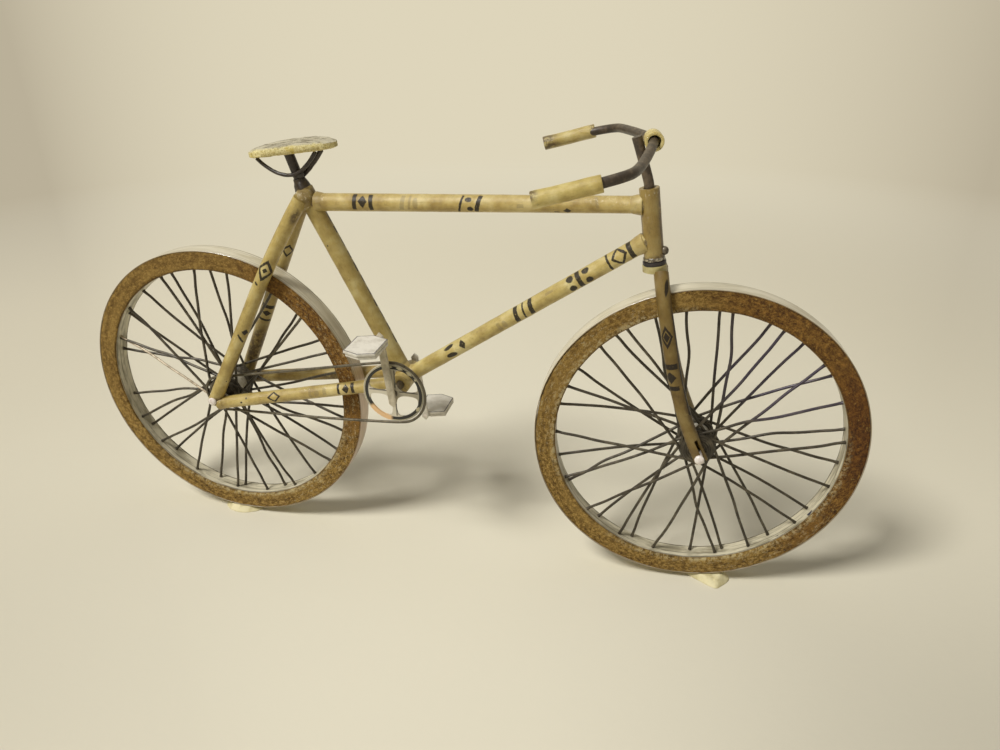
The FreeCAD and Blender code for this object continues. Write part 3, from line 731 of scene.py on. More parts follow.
def addFloor():
    # paper laid flat under the bicycle and swept up behind it
    deselect()
    bpy.ops.mesh.primitive_plane_add(size=1, location=(0, 0, 0))
    floor = named("floor")
    depth = floorLook["bendAt"] - floorLook["front"]
    bpy.ops.transform.resize(value=(2 * floorLook["half"] * mm, depth * mm, 1))
    bpy.ops.transform.translate(value=(0, (floorLook["front"] + depth / 2) * mm, 0))
    applyPlace()
    steps = floorLook["steps"]
    arc = floorLook["bend"] * math.pi / 2 / steps
    runs = [(math.pi / 2 * (index + 0.5) / steps, arc) for index in range(steps)]
    for turn, reach in [*runs, (math.pi / 2, floorLook["height"])]:
        far = max(point.co.y for point in floor.data.vertices)
        high = max(point.co.z for point in floor.data.vertices)
        selectEdges(floor, lambda first, second: min(first.y, second.y) > far - 1e-6 and
                    min(first.z, second.z) > high - 1e-6)
        bpy.ops.mesh.extrude_region_move(TRANSFORM_OT_translate={
            "value": (0, reach * math.cos(turn) * mm, reach * math.sin(turn) * mm)})
        objectMode()
    bpy.ops.object.shade_smooth()
    floor.data.materials.append(floorMaterial())


def backdropRays(material):  # 1 for the rays that see the background, from camera, gloss and glass
    rays = addNode(material, "LightPath").outputs
    seen = maths(material, "MAXIMUM", rays["Is Camera Ray"], rays["Is Glossy Ray"])
    return maths(material, "MAXIMUM", seen, rays["Is Transmission Ray"])


def floorMaterial():
    # pale paper with painted shade towards the sides behind and in soft pools near the bicycle; far away it
    # shows its colour without light or shade
    material = shader("floorPaper", 0.9, **{"Specular IOR Level": 0.1})
    place = inMillimetres(material)
    away = vectorMath(material, "DISTANCE", place, floorLook["middle"], output="Value")
    fade = addNode(material, "MapRange", {"Value": away, "From Min": floorLook["fadeFrom"],
                                          "From Max": floorLook["fadeTo"]}).outputs["Result"]
    x, y, _ = axes(material, place)
    across = maths(material, "SUBTRACT", x, floorLook["from"][0])
    deep = maths(material, "SUBTRACT", y, floorLook["from"][1])
    deep = maths(material, "MAXIMUM", deep, floorLook["shallow"])
    # painted shade that darkens the floor towards both sides behind
    sideShade = apart(material, maths(material, "DIVIDE", across, deep), floorLook["brightAt"])
    sideShade = maths(material, "DIVIDE", sideShade, floorLook["brightHalf"])
    sideShade = maths(material, "POWER", sideShade, 3.0, clamp=True)
    sideShade = times(material, sideShade, step(material, y, *floorLook["evenTo"]))
    far = mixColour(material, sideShade, floorLook["far"], floorLook["edges"])
    base = mixColour(material, fade, floorLook["colour"], far)
    for spot, reach, depth in floorLook["shades"]:
        near = vectorMath(material, "DISTANCE", place, spot, output="Value")
        base = paint(material, base, (0, 0, 0, 1), step(material, near, reach, 0.0), depth)
    connect(material, "Base Color", base)
    addBump(material, noise(material, place, 0.6, 4.0, 0.6), 0.05, 0.5)
    plain = times(material, backdropRays(material),
                  step(material, away, floorLook["litTo"], floorLook["plainFrom"]))
    glow = addNode(material, "Emission", {"Color": base})
    lit = material.node_tree.nodes["Principled BSDF"].outputs[0]
    both = addNode(material, "MixShader", {0: plain, 1: lit, 2: glow.outputs[0]})
    ending = material.node_tree.nodes["Material Output"]
    material.node_tree.links.new(both.outputs[0], ending.inputs["Surface"])
    return material


lights = {
    "key": {"place": (-420, -520, 960), "aim": (45, 0, 10), "size": 350, "power": 12.4,
            "tint": (1.0, 0.985, 0.95)},
    "top": {"place": (80, 120, 900), "aim": (45, 20, 0), "size": 700, "power": 0.9,
            "tint": (1.0, 0.99, 0.96)},
    "world": {"strength": 0.16, "tint": (1.0, 0.985, 0.955, 1.0)},
}


def addLights():
    for name in ("key", "top"):
        light = lights[name]
        sight = Vector(light["aim"]) - Vector(light["place"])
        deselect()
        bpy.ops.object.light_add(type="AREA", location=Vector(light["place"]) * mm,
                                 rotation=sight.to_track_quat("-Z", "Y").to_euler())
        lamp = named(name)
        lamp.data.shape = "DISK"
        lamp.data.size = light["size"] * mm
        lamp.data.energy = light["power"]
        lamp.data.color = light["tint"]
    world = bpy.data.worlds.new("studio")
    bpy.context.scene.world = world
    world.use_nodes = True
    soft = world.node_tree.nodes["Background"]
    soft.inputs["Color"].default_value = lights["world"]["tint"]
    soft.inputs["Strength"].default_value = lights["world"]["strength"]
    pale = addNode(world, "Background", {"Color": floorLook["edges"]})
    both = addNode(world, "MixShader", {0: backdropRays(world), 1: soft.outputs[0], 2: pale.outputs[0]})
    world.node_tree.links.new(both.outputs[0], world.node_tree.nodes["World Output"].inputs["Surface"])


addCamera()
addFloor()
addLights()
print("camera, floor and lights set")


# Wheels: board ring, glued strips, paper hub and wire spokes
wheel = {
    "outer": 25.0, "inner": 22.0, "width": 3.3, "sides": 192, "edge": 0.16, "grain": (1.1, 0.2),
    "tread": 0.12, "treadEdge": 0.03, "rimStrip": 0.12, "liningIn": 0.18, "liningGrain": (2.5, 0.14),
    "hubWidth": 4.2, "hubLength": 6.2, "hubOpen": 0.8, "hubFit": 0.06, "hubEdge": 0.08,
    "hubGrain": (1.0, 0.06), "pinWidth": 1.15, "pinLength": 12.4, "pinEdge": 0.12, "pinGrain": (0.6, 0.05),
    "spokes": 9, "spokeWidth": 0.46, "bareWidth": 0.414, "spokeFoot": 1.35, "sweep": 74.0, "rimGap": 0.05,
    "rimOffset": 0.45, "spacing": 0.07, "wander": 0.5, "wobble": 0.22, "sideWobble": 0.1,
    "kinked": 0.3, "kinkAt": (0.34, 0.52, 0.68), "kinkBy": 0.5,
    "bendAt": (0.16, 0.34, 0.52, 0.68, 0.84, 0.93, 0.985), "calmFrom": 0.9, "calmBy": 0.45,
    "endInset": 0.15, "firstLead": 0.3, "secondLead": 0.85,
    "windingOut": 0.12, "windingRings": (1.05, 1.4, 1.75, 2.1, 2.4), "windingStep": 0.36, "windingSides": 9,
    "lowLayer": (2.42, 0.35, 5), "highLayer": (2.72, 1.7, 4),
    "windingWander": (-0.05, 0.12), "windingSway": (-0.06, 0.06),
    "loose": {"height": 0.12, "from": 118, "to": 196},
}
wheelLooks = {
    "rear": {"smooth": (130, 62), "redder": [(26, 44)], "scuffed": [(-35, 40), (20, 26)],
             "rubbed": [(-70, 60)], "pink": (-14, 26), "bare": (-1, 1, 4)},
    "front": {"smooth": (150, 30), "redder": [(38, 50), (-8, 40)], "scuffed": [(150, 40), (-60, 30)],
              "rubbed": [(150, 50), (-60, 60)], "specks": (-24, 26), "violetReflection": (48, 30)},
}


def addBand(name, inner, outer, width, cuts=1):
    # flat ring about the Y axis: a circle drawn inwards, then given its width
    deselect()
    bpy.ops.mesh.primitive_circle_add(vertices=wheel["sides"], radius=outer * mm, fill_type="NOTHING",
                                      rotation=(math.pi / 2, 0, 0))
    piece = named(name)
    applyPlace()
    bpy.ops.object.mode_set(mode="EDIT")
    bpy.ops.mesh.select_mode(type="VERT")
    bpy.ops.mesh.select_all(action="SELECT")
    for index in range(cuts):
        now = outer + (inner - outer) * index / cuts
        then = outer + (inner - outer) * (index + 1) / cuts
        bpy.ops.mesh.extrude_region_move()
        bpy.ops.transform.resize(value=(then / now, 1, then / now))
    facesOut()
    wall = piece.modifiers.new("width", "SOLIDIFY")
    wall.thickness = width * mm
    wall.offset = 0.0
    return piece


def around(reach, turn, side):  # a wheel's own place: out from the axle, round it, and to one side
    return Vector((reach * math.cos(turn), side, reach * math.sin(turn)))


def spokeRoute(side, lead, index, jitter):
    reach = wheel["hubWidth"] / 2 + wheel["spokeWidth"] / 2
    rimReach = wheel["inner"] - wheel["rimStrip"] - wheel["rimGap"]
    phase = (0.5 if lead > 0 else 0.0) + (0.25 if side > 0 else 0.0)
    rimTurn = 2 * math.pi * (index + phase) / wheel["spokes"]
    rimTurn += jitter.uniform(-wheel["spacing"], wheel["spacing"])
    hubTurn = rimTurn + lead * math.radians(wheel["sweep"])
    inset = wheel["firstLead" if lead > 0 else "secondLead"]
    start = around(reach, hubTurn, side * (wheel["hubLength"] / 2 - wheel["endInset"] - inset))
    end = around(rimReach, rimTurn, side * wheel["rimOffset"])
    across = (end - start).normalized().cross(leftward)
    bow = jitter.uniform(-1, 1)
    kink = jitter.choice(wheel["kinkAt"]) if jitter.random() < wheel["kinked"] else 0
    route = [start]
    for share in wheel["bendAt"]:
        wobble = jitter.uniform(-wheel["wobble"], wheel["wobble"]) * min(1, 3 * share)
        sway = wheel["wander"] * (bow * math.sin(math.pi * share) + wobble)
        depth = jitter.uniform(-wheel["sideWobble"], wheel["sideWobble"])
        if share == kink:
            sway += jitter.choice((-wheel["kinkBy"], wheel["kinkBy"]))
        if share > wheel["calmFrom"]:
            sway *= wheel["calmBy"]
        route.append(start.lerp(end, share) + across * sway + leftward * depth)
    route.append(end)
    return route


def windingRoute(side, jitter):
    # wire wound over the roll's end, along it, and back in a second layer
    end, pitch = wheel["hubLength"] / 2 + wheel["windingOut"], wheel["windingStep"]
    along = [(reach, end) for reach in wheel["windingRings"]]
    reach, inset, turns = wheel["lowLayer"]
    along += [(reach, end - inset - pitch * index) for index in range(turns)]
    reach, inset, turns = wheel["highLayer"]
    along += [(reach, end - inset + pitch * index) for index in range(turns)]
    route = []
    sides = wheel["windingSides"]
    for index in range((len(along) - 1) * sides):
        first, second = along[index // sides], along[index // sides + 1]
        share = index % sides / sides
        reach = first[0] + (second[0] - first[0]) * share + jitter.uniform(*wheel["windingWander"])
        away = first[1] + (second[1] - first[1]) * share + jitter.uniform(*wheel["windingSway"])
        route.append(around(reach, 2 * math.pi * index / sides, side * away))
    return route


def spokeSet(name, jitter, leftOut):
    swell = wheel["spokeFoot"]
    piece = bentRod(name, spokeRoute(1, 1, 0, jitter), wheel["spokeWidth"], 2, 4, endSwell=swell)
    for side in (-1, 1):
        for lead in (1, -1):
            for index in range(wheel["spokes"]):
                if (side, lead, index) not in ((1, 1, 0), leftOut):
                    addSpline(piece.data, spokeRoute(side, lead, index, jitter), 4, endSwell=swell)
        addSpline(piece.data, windingRoute(side, jitter), 4)
    return toMesh(piece)


def liftLoose(tread):  # the strip has come away from the board on one stretch
    loose = wheel["loose"]
    for point in tread.data.vertices:
        turn = math.degrees(math.atan2(point.co.z, point.co.x)) % 360
        share = (turn - loose["from"]) / (loose["to"] - loose["from"])
        if 0 < share < 1:
            reach = math.hypot(point.co.x, point.co.z)
            grown = 1 + loose["height"] * mm * math.sin(math.pi * share) ** 2 / reach
            point.co.x *= grown
            point.co.z *= grown


def buildWheel(end, body, centre, turn, seed):
    jitter = random.Random(seed)
    look = wheelLooks[end]
    outer, inner, width = wheel["outer"], wheel["inner"], wheel["width"]
    place = turn @ Matrix.Translation(centre)
    space = (place.translation, (turn.to_3x3() @ leftward).normalized())
    board = addBand(end + "BoardRing", inner, outer, width, 5)
    dress(board, place, wheel["edge"], wheel["grain"])
    finish(board, body, boardMaterial(end + "Board", space, look), "board", end + "_ring")
    tread = addBand(end + "TreadStrip", outer, outer + wheel["tread"], width)
    soften(tread, wheel["treadEdge"], 1)
    applyModifiers(tread)
    if end == "front":
        liftLoose(tread)
    settle(tread, place)
    finish(tread, body, treadMaterial(end + "Tread", space, look.get("pink")), "tread_strip", end + "_tread")
    lining = addBand(end + "RimLining", inner - wheel["rimStrip"], inner, width - 2 * wheel["liningIn"])
    dress(lining, place, grain=wheel["liningGrain"])
    finish(lining, body, rimMaterial(end + "Rim", space, look.get("specks")), "rim_strip", end + "_rim_strip")
    hub = addRound(end + "HubRoll", wheel["hubWidth"], wheel["hubLength"], None, 48, 8)
    for top in (False, True):
        hollowEnd(hub, top, (wheel["hubWidth"] - wheel["pinWidth"]) / 2 - wheel["hubFit"], wheel["hubOpen"])
    half = leftward * (wheel["hubLength"] / 2)
    dress(hub, place @ standing(-half, half), wheel["hubEdge"], wheel["hubGrain"])
    finish(hub, body, materials["hub"], "hub_paper", end + "_hub")
    wires = spokeSet(end + "Spokes", jitter, look.get("bare"))
    settle(wires, place)
    finish(wires, body, spokeMaterial(end + "SpokeWire", space, look.get("violetReflection")), "spoke_wire",
           end + "_spokes", smoothAngle=60)
    if "bare" in look:
        side, lead, index = look["bare"]
        route = spokeRoute(side, lead, index - 0.5, jitter)
        bare = toMesh(bentRod(end + "BareSpoke", route, wheel["bareWidth"], 2, 4))
        settle(bare, place)
        finish(bare, body, materials["silver"], "spoke_wire", smoothAngle=60)


buildWheel("rear", "rear_wheel", rearAxle, Matrix.Identity(4), 11)
buildWheel("front", "front_wheel", frontAxleStraight, steerTurn(), 23)
print("wheels built")


# Frame of rolled paper tubes
tubes = {
    "seat": {"angle": 64.2, "length": 33.6, "width": 2.85, "foot": 1.2},
    "top": {"belowSeatEnd": 2.2, "belowHeadTop": 2.4, "rearWidth": 2.7, "frontWidth": 2.4},
    "down": {"aboveHeadFoot": 3.1, "width": 2.45},
    "head": {"length": 10.2, "width": 2.8, "wall": 0.6},
    "bracket": {"width": 3.2, "length": 6.0, "hole": 1.4},
    "seatStay": {"width": 2.3, "spread": 5.2, "topSpread": 1.9, "belowSeatEnd": 1.0, "behind": 1.8,
                 "overrun": 0.7, "bendAt": (0.42, 0.78), "lean": 1.1, "farLean": 0.3, "pinch": 0.25,
                 "rise": 0.6, "edge": 0.1, "grain": (1.5, 0.08)},
    "chainStay": {"width": 2.15, "rearDrop": 0.85, "frontSpread": 2.3, "frontReach": 1.6, "frontDrop": 0.3,
                  "overrun": -0.35},
}
seatAxis = rising(tubes["seat"]["angle"])
seatEnd = bracket + seatAxis * tubes["seat"]["length"]
headTop = headFoot + headAxis * tubes["head"]["length"]


# Printed ornaments on each tube's sheet: kind, place along, place round, half length, half width, turn.
# Stained patches, some of them painted shade, and patches of painted glints give only the places and the half
# sizes.
edgePrint = [("bar", 5.6 + 2.15 * index, 1.66 + 0.1 * (index % 3), 0.75 - 0.16 * (index % 2), 0.22,
              3 - 3 * (index % 3)) for index in range(11)]
tubeLooks = {
    "seat": {
        "marks": edgePrint + [("dot", 23.3, -1.1, 0.14, 0.12, 0)],
        "stainsAndShade": [(0.0, 0.4, 2.0, 2.4), (33.0, -0.6, 3.0, 2.4), (30.5, 1.0, 2.2, 1.4)],
        "toneAndShade": (0.7, 0.67, 0.58), "shine": 0.4,
    },
    "top": {
        "marks": [("bar", 7.7, -0.15, 0.32, 1.35, 2), ("diamond", 9.0, -0.1, 0.72, 1.05, 0),
                  ("bar", 10.3, 0.0, 0.32, 1.35, -2), ("bar", 24.2, 0.1, 0.16, 1.5, 14),
                  ("dot", 25.35, -0.55, 0.5, 0.42, 0), ("dot", 25.6, 0.95, 0.48, 0.42, 0),
                  ("bar", 26.8, 0.1, 0.32, 1.5, 14), ("diamond", 39.7, 1.15, 0.62, 0.5, 0),
                  ("dot", 38.2, 1.45, 0.45, 0.14, 0)],
        "ghosts": [("bar", 15.3, 0, 0.32, 1.2, 8), ("bar", 16.4, 0, 0.18, 1.2, 8),
                   ("dot", 17.3, 0.1, 0.4, 0.9, 0), ("bar", 33.0, 0.4, 0.5, 0.3, 0),
                   ("bar", 43.8, -0.3, 0.2, 0.9, -10)],
        "stainsAndShade": [(0.6, 0.6, 2.4, 2.0), (50.4, 0.9, 1.4, 1.6)],
        "paintedGlints": [(46.5, -0.7, 5.5, 1.2), (1.6, -0.6, 2.0, 1.0)],
        "toneAndShade": (0.87, 0.82, 0.71), "shine": 0.7,
    },
    "down": {
        "marks": [("dot", 10.0, -0.8, 0.95, 0.36, -8), ("dot", 10.0, 0.62, 0.95, 0.42, 8),
                  ("diamond", 12.5, -0.1, 0.62, 0.85, 0), ("bar", 22.9, -0.1, 0.36, 1.5, 10),
                  ("bar", 24.25, -0.1, 0.14, 1.5, 10), ("bar", 25.6, -0.1, 0.36, 1.5, 10),
                  ("dot", 32.9, -0.78, 0.6, 0.6, 0), ("dot", 32.8, 0.85, 0.56, 0.56, 0),
                  ("bar", 34.2, 0.0, 0.36, 1.6, 0), ("dot", 35.6, -0.78, 0.6, 0.52, 0),
                  ("dot", 35.6, 0.85, 0.56, 0.56, 0), ("bar", 39.2, -0.1, 0.18, 1.6, 0),
                  ("lozenge", 41.0, -0.1, 1.25, 1.6, 0), ("bar", 42.8, -0.1, 0.36, 1.55, 0)],
        "ghosts": [("bar", 19.5, 0.4, 0.3, 0.7, 0), ("dot", 20.5, 0.4, 0.4, 0.6, 0),
                   ("bar", 29.2, -0.5, 0.7, 0.2, 0)],
        "stainsAndShade": [(1.2, 0.6, 1.8, 1.8), (45.6, 0.6, 1.3, 2.0)], "toneAndShade": (0.9, 0.89, 0.82), "shine": 0.55,
        "paintedGlints": [(45.0, -0.4, 2.2, 1.4)],
    },
    # the long patches down both sides of the head tube are painted shade
    "head": {"stainsAndShade": [(0.2, 1.2, 1.2, 2.6), (5.0, 1.6, 7.0, 0.62), (5.0, -1.9, 6.0, 0.5)],
             "paintedGlints": [(9.6, 0.4, 0.9, 1.4)], "toneAndShade": (0.5, 0.43, 0.28), "shine": 0.75},
    "bracket": {"toneAndShade": (0.75, 0.7, 0.6), "shine": 0.5},
    "seatStayRight": {
        "marks": [("bar", 14.2, 0.2, 0.16, 0.85, 42), ("diamond", 15.6, 0.55, 0.6, 0.62, 0),
                  ("dot", 24.6, -0.7, 0.2, 0.4, 25), ("lozenge", 27.3, -0.1, 1.9, 1.4, 0),
                  ("bar", 27.3, -0.1, 0.35, 0.3, 45), ("dot", 5.4, 0.6, 0.12, 0.12, 0)],
        "stainsAndShade": [(0.0, 0.6, 3.0, 1.8), (37.6, 0.5, 1.8, 1.0), (9.0, 1.5, 8.0, 0.8)],
        "toneAndShade": (0.82, 0.79, 0.69), "shine": 0.5,
    },
    "seatStayLeft": {
        "marks": [("lozenge", 29.4, 0.3, 1.25, 1.0, 0), ("bar", 14.4, 0.0, 0.22, 1.2, 0),
                  ("diamond", 15.9, 0.1, 0.6, 0.85, 0), ("bar", 17.3, 0.0, 0.36, 1.2, 0)],
        "stainsAndShade": [(8.0, 0, 7.0, 2.4)], "toneAndShade": (0.7, 0.65, 0.53), "shine": 0.4,
    },
    "chainStayRight": {
        "marks": [("lozenge", 11.0, 0.1, 1.2, 1.0, 0), ("bar", 22.7, 0.0, 0.2, 1.0, 0),
                  ("diamond", 24.0, 0.1, 0.62, 0.9, 0), ("bar", 25.2, 0.0, 0.28, 1.0, 0),
                  ("dot", 4.9, 0.4, 0.22, 0.2, 0), ("dot", 5.9, -0.2, 0.14, 0.2, 0)],
        "ghosts": [("bar", 17.6, 0.3, 0.22, 0.6, 0), ("dot", 18.8, 0.3, 0.45, 0.5, 0),
                   ("bar", 20.2, 0.1, 0.3, 0.6, 0)],
        "stainsAndShade": [(0.2, 0.6, 1.6, 1.8)], "toneAndShade": (0.93, 0.9, 0.8), "shine": 0.75,
        "paintedGlints": [(20.0, -0.6, 8.0, 0.5)],
    },
    "chainStayLeft": {"stainsAndShade": [(2.0, 0, 4.0, 2.0), (20.0, 0.6, 6.0, 1.0)], "toneAndShade": (0.66, 0.6, 0.48),
                      "shine": 0.3},
}
fillets = {  # glue at a tube's joint: its start and end along the run, and the two widths
    "topRear": (1.0, 2.5, 3.2, 2.55), "topFront": (-2.8, -1.0, 2.3, 3.0),
    "downRear": (1.2, 2.7, 3.0, 2.3), "downFront": (-3.1, -1.1, 2.35, 3.0),
    "seatFoot": (1.2, 2.8, 3.3, 2.7), "stay": (0.5, 1.5, 2.5, 2.2), "headFoot": (0.02, 0.5, 3.12, 2.9),
}
cluster = {"down": 1.5, "off": (-0.35, -0.5, 0), "size": (3.1, 3.6, 3.5), "toneAndShade": (0.6, 0.56, 0.46)}


def buildFrame():
    seat, top, down, head, shell = (tubes[name] for name in ("seat", "top", "down", "head", "bracket"))
    topStart = seatEnd - seatAxis * top["belowSeatEnd"]
    topEnd = headTop - headAxis * top["belowHeadTop"]
    downEnd = headFoot + headAxis * down["aboveHeadFoot"]
    half = leftward * (shell["length"] / 2)
    paperTube("seatTube", bracket + seatAxis * seat["foot"], seatEnd, seat["width"], "root", ["seat_tube"],
              **tubeLooks["seat"])
    paperTube("topTube", topStart, topEnd, top["rearWidth"], "root", ["top_tube"], endWidth=top["frontWidth"],
              **tubeLooks["top"])
    paperTube("downTube", bracket, downEnd, down["width"], "root", ["down_tube"], **tubeLooks["down"])
    paperTube("headTube", headFoot, headTop, head["width"], "root", ["head_tube"], openEnds=(True,),
              wall=head["wall"], **tubeLooks["head"])
    paperTube("bottomBracket", bracket - half, bracket + half, shell["width"], "root", ["bottom_bracket"],
              openEnds=(False, True), wall=(shell["width"] - shell["hole"]) / 2, **tubeLooks["bracket"])
    for name, side in (("right", -1), ("left", 1)):
        buildStays(name, side)
    run = (topEnd - topStart).normalized()
    glueFillet("topRearFillet", topStart, run, fillets["topRear"])
    glueFillet("topFrontFillet", topEnd, run, fillets["topFront"])
    run = (downEnd - bracket).normalized()
    glueFillet("downFrontFillet", downEnd, run, fillets["downFront"])
    glueFillet("downRearFillet", bracket, run, fillets["downRear"])
    glueFillet("seatFootFillet", bracket, seatAxis, fillets["seatFoot"])
    addBlob("clusterGlue", seatEnd - seatAxis * cluster["down"] + Vector(cluster["off"]), cluster["size"],
            paperMaterial("clusterVarnish", shine=0.7, toneAndShade=cluster["toneAndShade"], paintedGlints=[(0, 0, 9, 9)]))
    glueFillet("headFootCrust", headFoot, headAxis, fillets["headFoot"], materials["crust"], 0.34)


def buildStays(name, side):
    seatStay, chainStay = tubes["seatStay"], tubes["chainStay"]
    rearEnd = rearAxle + leftward * (side * seatStay["spread"])
    stayTop = seatEnd - seatAxis * seatStay["belowSeatEnd"] + leftward * (side * seatStay["topSpread"])
    stayTop = stayTop - Vector((seatAxis.z, 0, -seatAxis.x)) * seatStay["behind"]
    run = (stayTop - rearEnd).normalized()
    lean = seatStay["lean"] if side < 0 else seatStay["farLean"]
    stayFoot = rearEnd - run * seatStay["overrun"]
    glued = stayTop + run * seatStay["rise"] + Vector((lean, -side * seatStay["pinch"], 0))
    route = [stayFoot, *(stayFoot.lerp(stayTop, share) for share in seatStay["bendAt"]), glued]
    label = "seatStay" + name.capitalize()
    piece = toMesh(bentRod(label, route, seatStay["width"], 8, 10))
    alongRoute(piece, route, seatStay["width"])
    soften(piece, seatStay["edge"])
    roughen(piece, *seatStay["grain"])
    finish(piece, "root", paperMaterial(label + "Paper", **tubeLooks[label]), "tube_paper",
           "seat_stay_" + name, smoothAngle=50)
    front = bracket + Vector((-chainStay["frontReach"], side * chainStay["frontSpread"],
                              -chainStay["frontDrop"]))
    rear = rearEnd - upward * chainStay["rearDrop"]
    run = (front - rear).normalized()
    label = "chainStay" + name.capitalize()
    paperTube(label, rear - run * chainStay["overrun"], front, chainStay["width"], "root",
              ["chain_stay_" + name], **tubeLooks[label])
    glueFillet("stayGlue" + name.capitalize(), rear, run, fillets["stay"])


buildFrame()
print("frame built")


# Saddle on its post
saddle = {
    "postAngle": 72.2, "postLength": 5.5, "postSunk": 1.2, "postBack": 0.25, "postWidth": 1.5,
    "length": 14.6, "width": 5.2, "thickness": 1.3, "tilt": 8.5, "roll": 4.5, "forward": 0.85, "crown": 0.42,
    "rings": (0.965, 0.93, 0.9, 0.88, 0.86, 0.84, 0.8, 0.75, 0.6, 0.4), "rimFrom": 0.86, "rimLeast": 0.55,
    "grain": (0.7, 0.18), "postGrain": (0.8, 0.05),
    "wireWidth": 0.58, "strutWidth": 0.783, "wireGrain": (0.7, 0.08),
    # forwards, to the left and down from the post's top, along the saddle
    "wire": ((-5.25, -0.3, 0), (-3.05, -0.8, 1.95), (0.55, -1.02, 3.2), (3.3, -1.02, 2.0), (4.85, -0.8, 0)),
    "strut": ((0.75, 0.9, 3.9), (2.9, 0.9, 2.6), (5.2, 0.4, 0)),
}
saddleGlue = {
    "collar": {"width": 2.7, "length": 1.9, "endWidth": 1.65, "from": -0.15, "to": 0.7, "upPost": 1.0,
               "edge": 0.2, "grain": (0.8, 0.3)},
    "drip": {"upPost": 3.9, "off": (0.85, -0.5, 0), "size": (0.5, 0.4, 0.6), "material": "card"},
    "web": {"upPost": 3.5, "off": (0.75, -0.45, 0), "size": (1.2, 0.9, 1.5), "material": "glue"},
}
postAxis = rising(saddle["postAngle"])
postFoot = seatEnd - seatAxis * saddle["postSunk"] - Vector((saddle["postBack"], 0, 0))
saddleTop = postFoot + postAxis * (saddle["postLength"] + saddle["postSunk"])
saddleTilt = Matrix.Rotation(math.radians(-saddle["tilt"]), 4, "Y")


def buildPost():
    post = addRound("saddlePost", saddle["postWidth"], (saddleTop - postFoot).length, None, 32, 8)
    dress(post, standing(postFoot, saddleTop), grain=saddle["postGrain"])
    finish(post, "root", materials["dark"], "dark_rod", "seat_post")
    collar = saddleGlue["collar"]
    glue = addRound("seatGlue", collar["width"], collar["length"], collar["endWidth"], 36, 8)
    low = seatEnd + seatAxis * collar["from"]
    high = seatEnd + seatAxis * collar["to"] + postAxis * collar["upPost"]
    dress(glue, standing(low, high), collar["edge"], collar["grain"])
    finish(glue, "root", materials["glue"], "glue", "seat_glue", smoothAngle=70)
    for name in ("drip", "web"):
        lump = saddleGlue[name]
        place = postFoot + postAxis * lump["upPost"] + Vector(lump["off"])
        addBlob("glue" + name.capitalize(), place, lump["size"], materials[lump["material"]])


def buildPad():
    # layered card: an oval drawn inwards ring by ring, closed in the middle, then given its thickness
    deselect()
    bpy.ops.mesh.primitive_circle_add(vertices=96, radius=mm, fill_type="NOTHING")
    pad = named("saddlePad")
    bpy.ops.transform.resize(value=(saddle["length"] / 2, saddle["width"] / 2, 1))
    applyPlace()
    bpy.ops.object.mode_set(mode="EDIT")
    bpy.ops.mesh.select_mode(type="VERT")
    bpy.ops.mesh.select_all(action="SELECT")
    for shrink in saddle["rings"]:
        bpy.ops.mesh.extrude_region_move()
        bpy.ops.transform.resize(value=(shrink, shrink, 1))
    bpy.ops.mesh.fill()
    bpy.ops.mesh.select_all(action="SELECT")
    bpy.ops.mesh.extrude_region_move(TRANSFORM_OT_translate={"value": (0, 0, saddle["thickness"] * mm)})
    facesOut()
    middle = saddle["thickness"] / 2 * mm
    for point in pad.data.vertices:  # the rim is rounded
        outward = math.hypot(2 * point.co.x / saddle["length"], 2 * point.co.y / saddle["width"]) / mm
        rim = max(0.0, (outward - saddle["rimFrom"]) / (1 - saddle["rimFrom"]))
        share = max(saddle["rimLeast"], math.sqrt(max(0.0, 1 - rim ** 2)))
        point.co.z = middle + (point.co.z - middle) * share
    roughen(pad, *saddle["grain"])
    applyModifiers(pad)
    for point in pad.data.vertices:  # the card is bowed up along its middle
        point.co.z += saddle["crown"] * mm * (1 - (2 * point.co.x / mm / saddle["length"]) ** 2)
    roll = Matrix.Rotation(math.radians(saddle["roll"]), 4, "X")
    seated = Matrix.Translation((saddle["forward"], 0, -saddle["crown"] / 2))
    settle(pad, Matrix.Translation(saddleTop) @ saddleTilt @ seated @ roll)
    finish(pad, "root", saddleMaterial(), "saddle_card", "saddle_pad", smoothAngle=60)


def saddleMaterial():
    # worn grey printed top, cream layers with yellow glue at the rim
    material = shader("saddleCard", 0.75, **{"Specular IOR Level": 0.3})
    place = inMillimetres(material)
    rise = axes(material, addNode(material, "NewGeometry").outputs["Normal"])["Z"]
    streaks = noise(material, inMillimetres(material, (0.4, 1.5, 1.0)), 1.1, 5.0, 0.65)
    fluff = noise(material, place, 3.4, 6.0, 0.75)
    tints = step(material, noise(material, place, 0.5, 3.0, 0.6), 0.5, 0.66)
    side = mixColour(material, step(material, fluff, 0.4, 0.65), fromPhoto(232, 220, 164),
                     fromPhoto(186, 166, 100))
    side = paint(material, side, fromPhoto(200, 176, 64), tints, 0.6)
    worn = mixColour(material, step(material, streaks, 0.44, 0.6), fromPhoto(200, 192, 166),
                     fromPhoto(128, 119, 98))
    worn = paint(material, worn, fromPhoto(222, 214, 186), step(material, fluff, 0.54, 0.66))
    uneven = times(material, maths(material, "SUBTRACT", fluff, 0.5), 0.9)
    flat = step(material, maths(material, "ADD", rise, uneven), 0.6, 0.95)
    connect(material, "Base Color", mixColour(material, flat, side, worn))
    addBump(material, fluff, 0.2, 1.0)
    return material


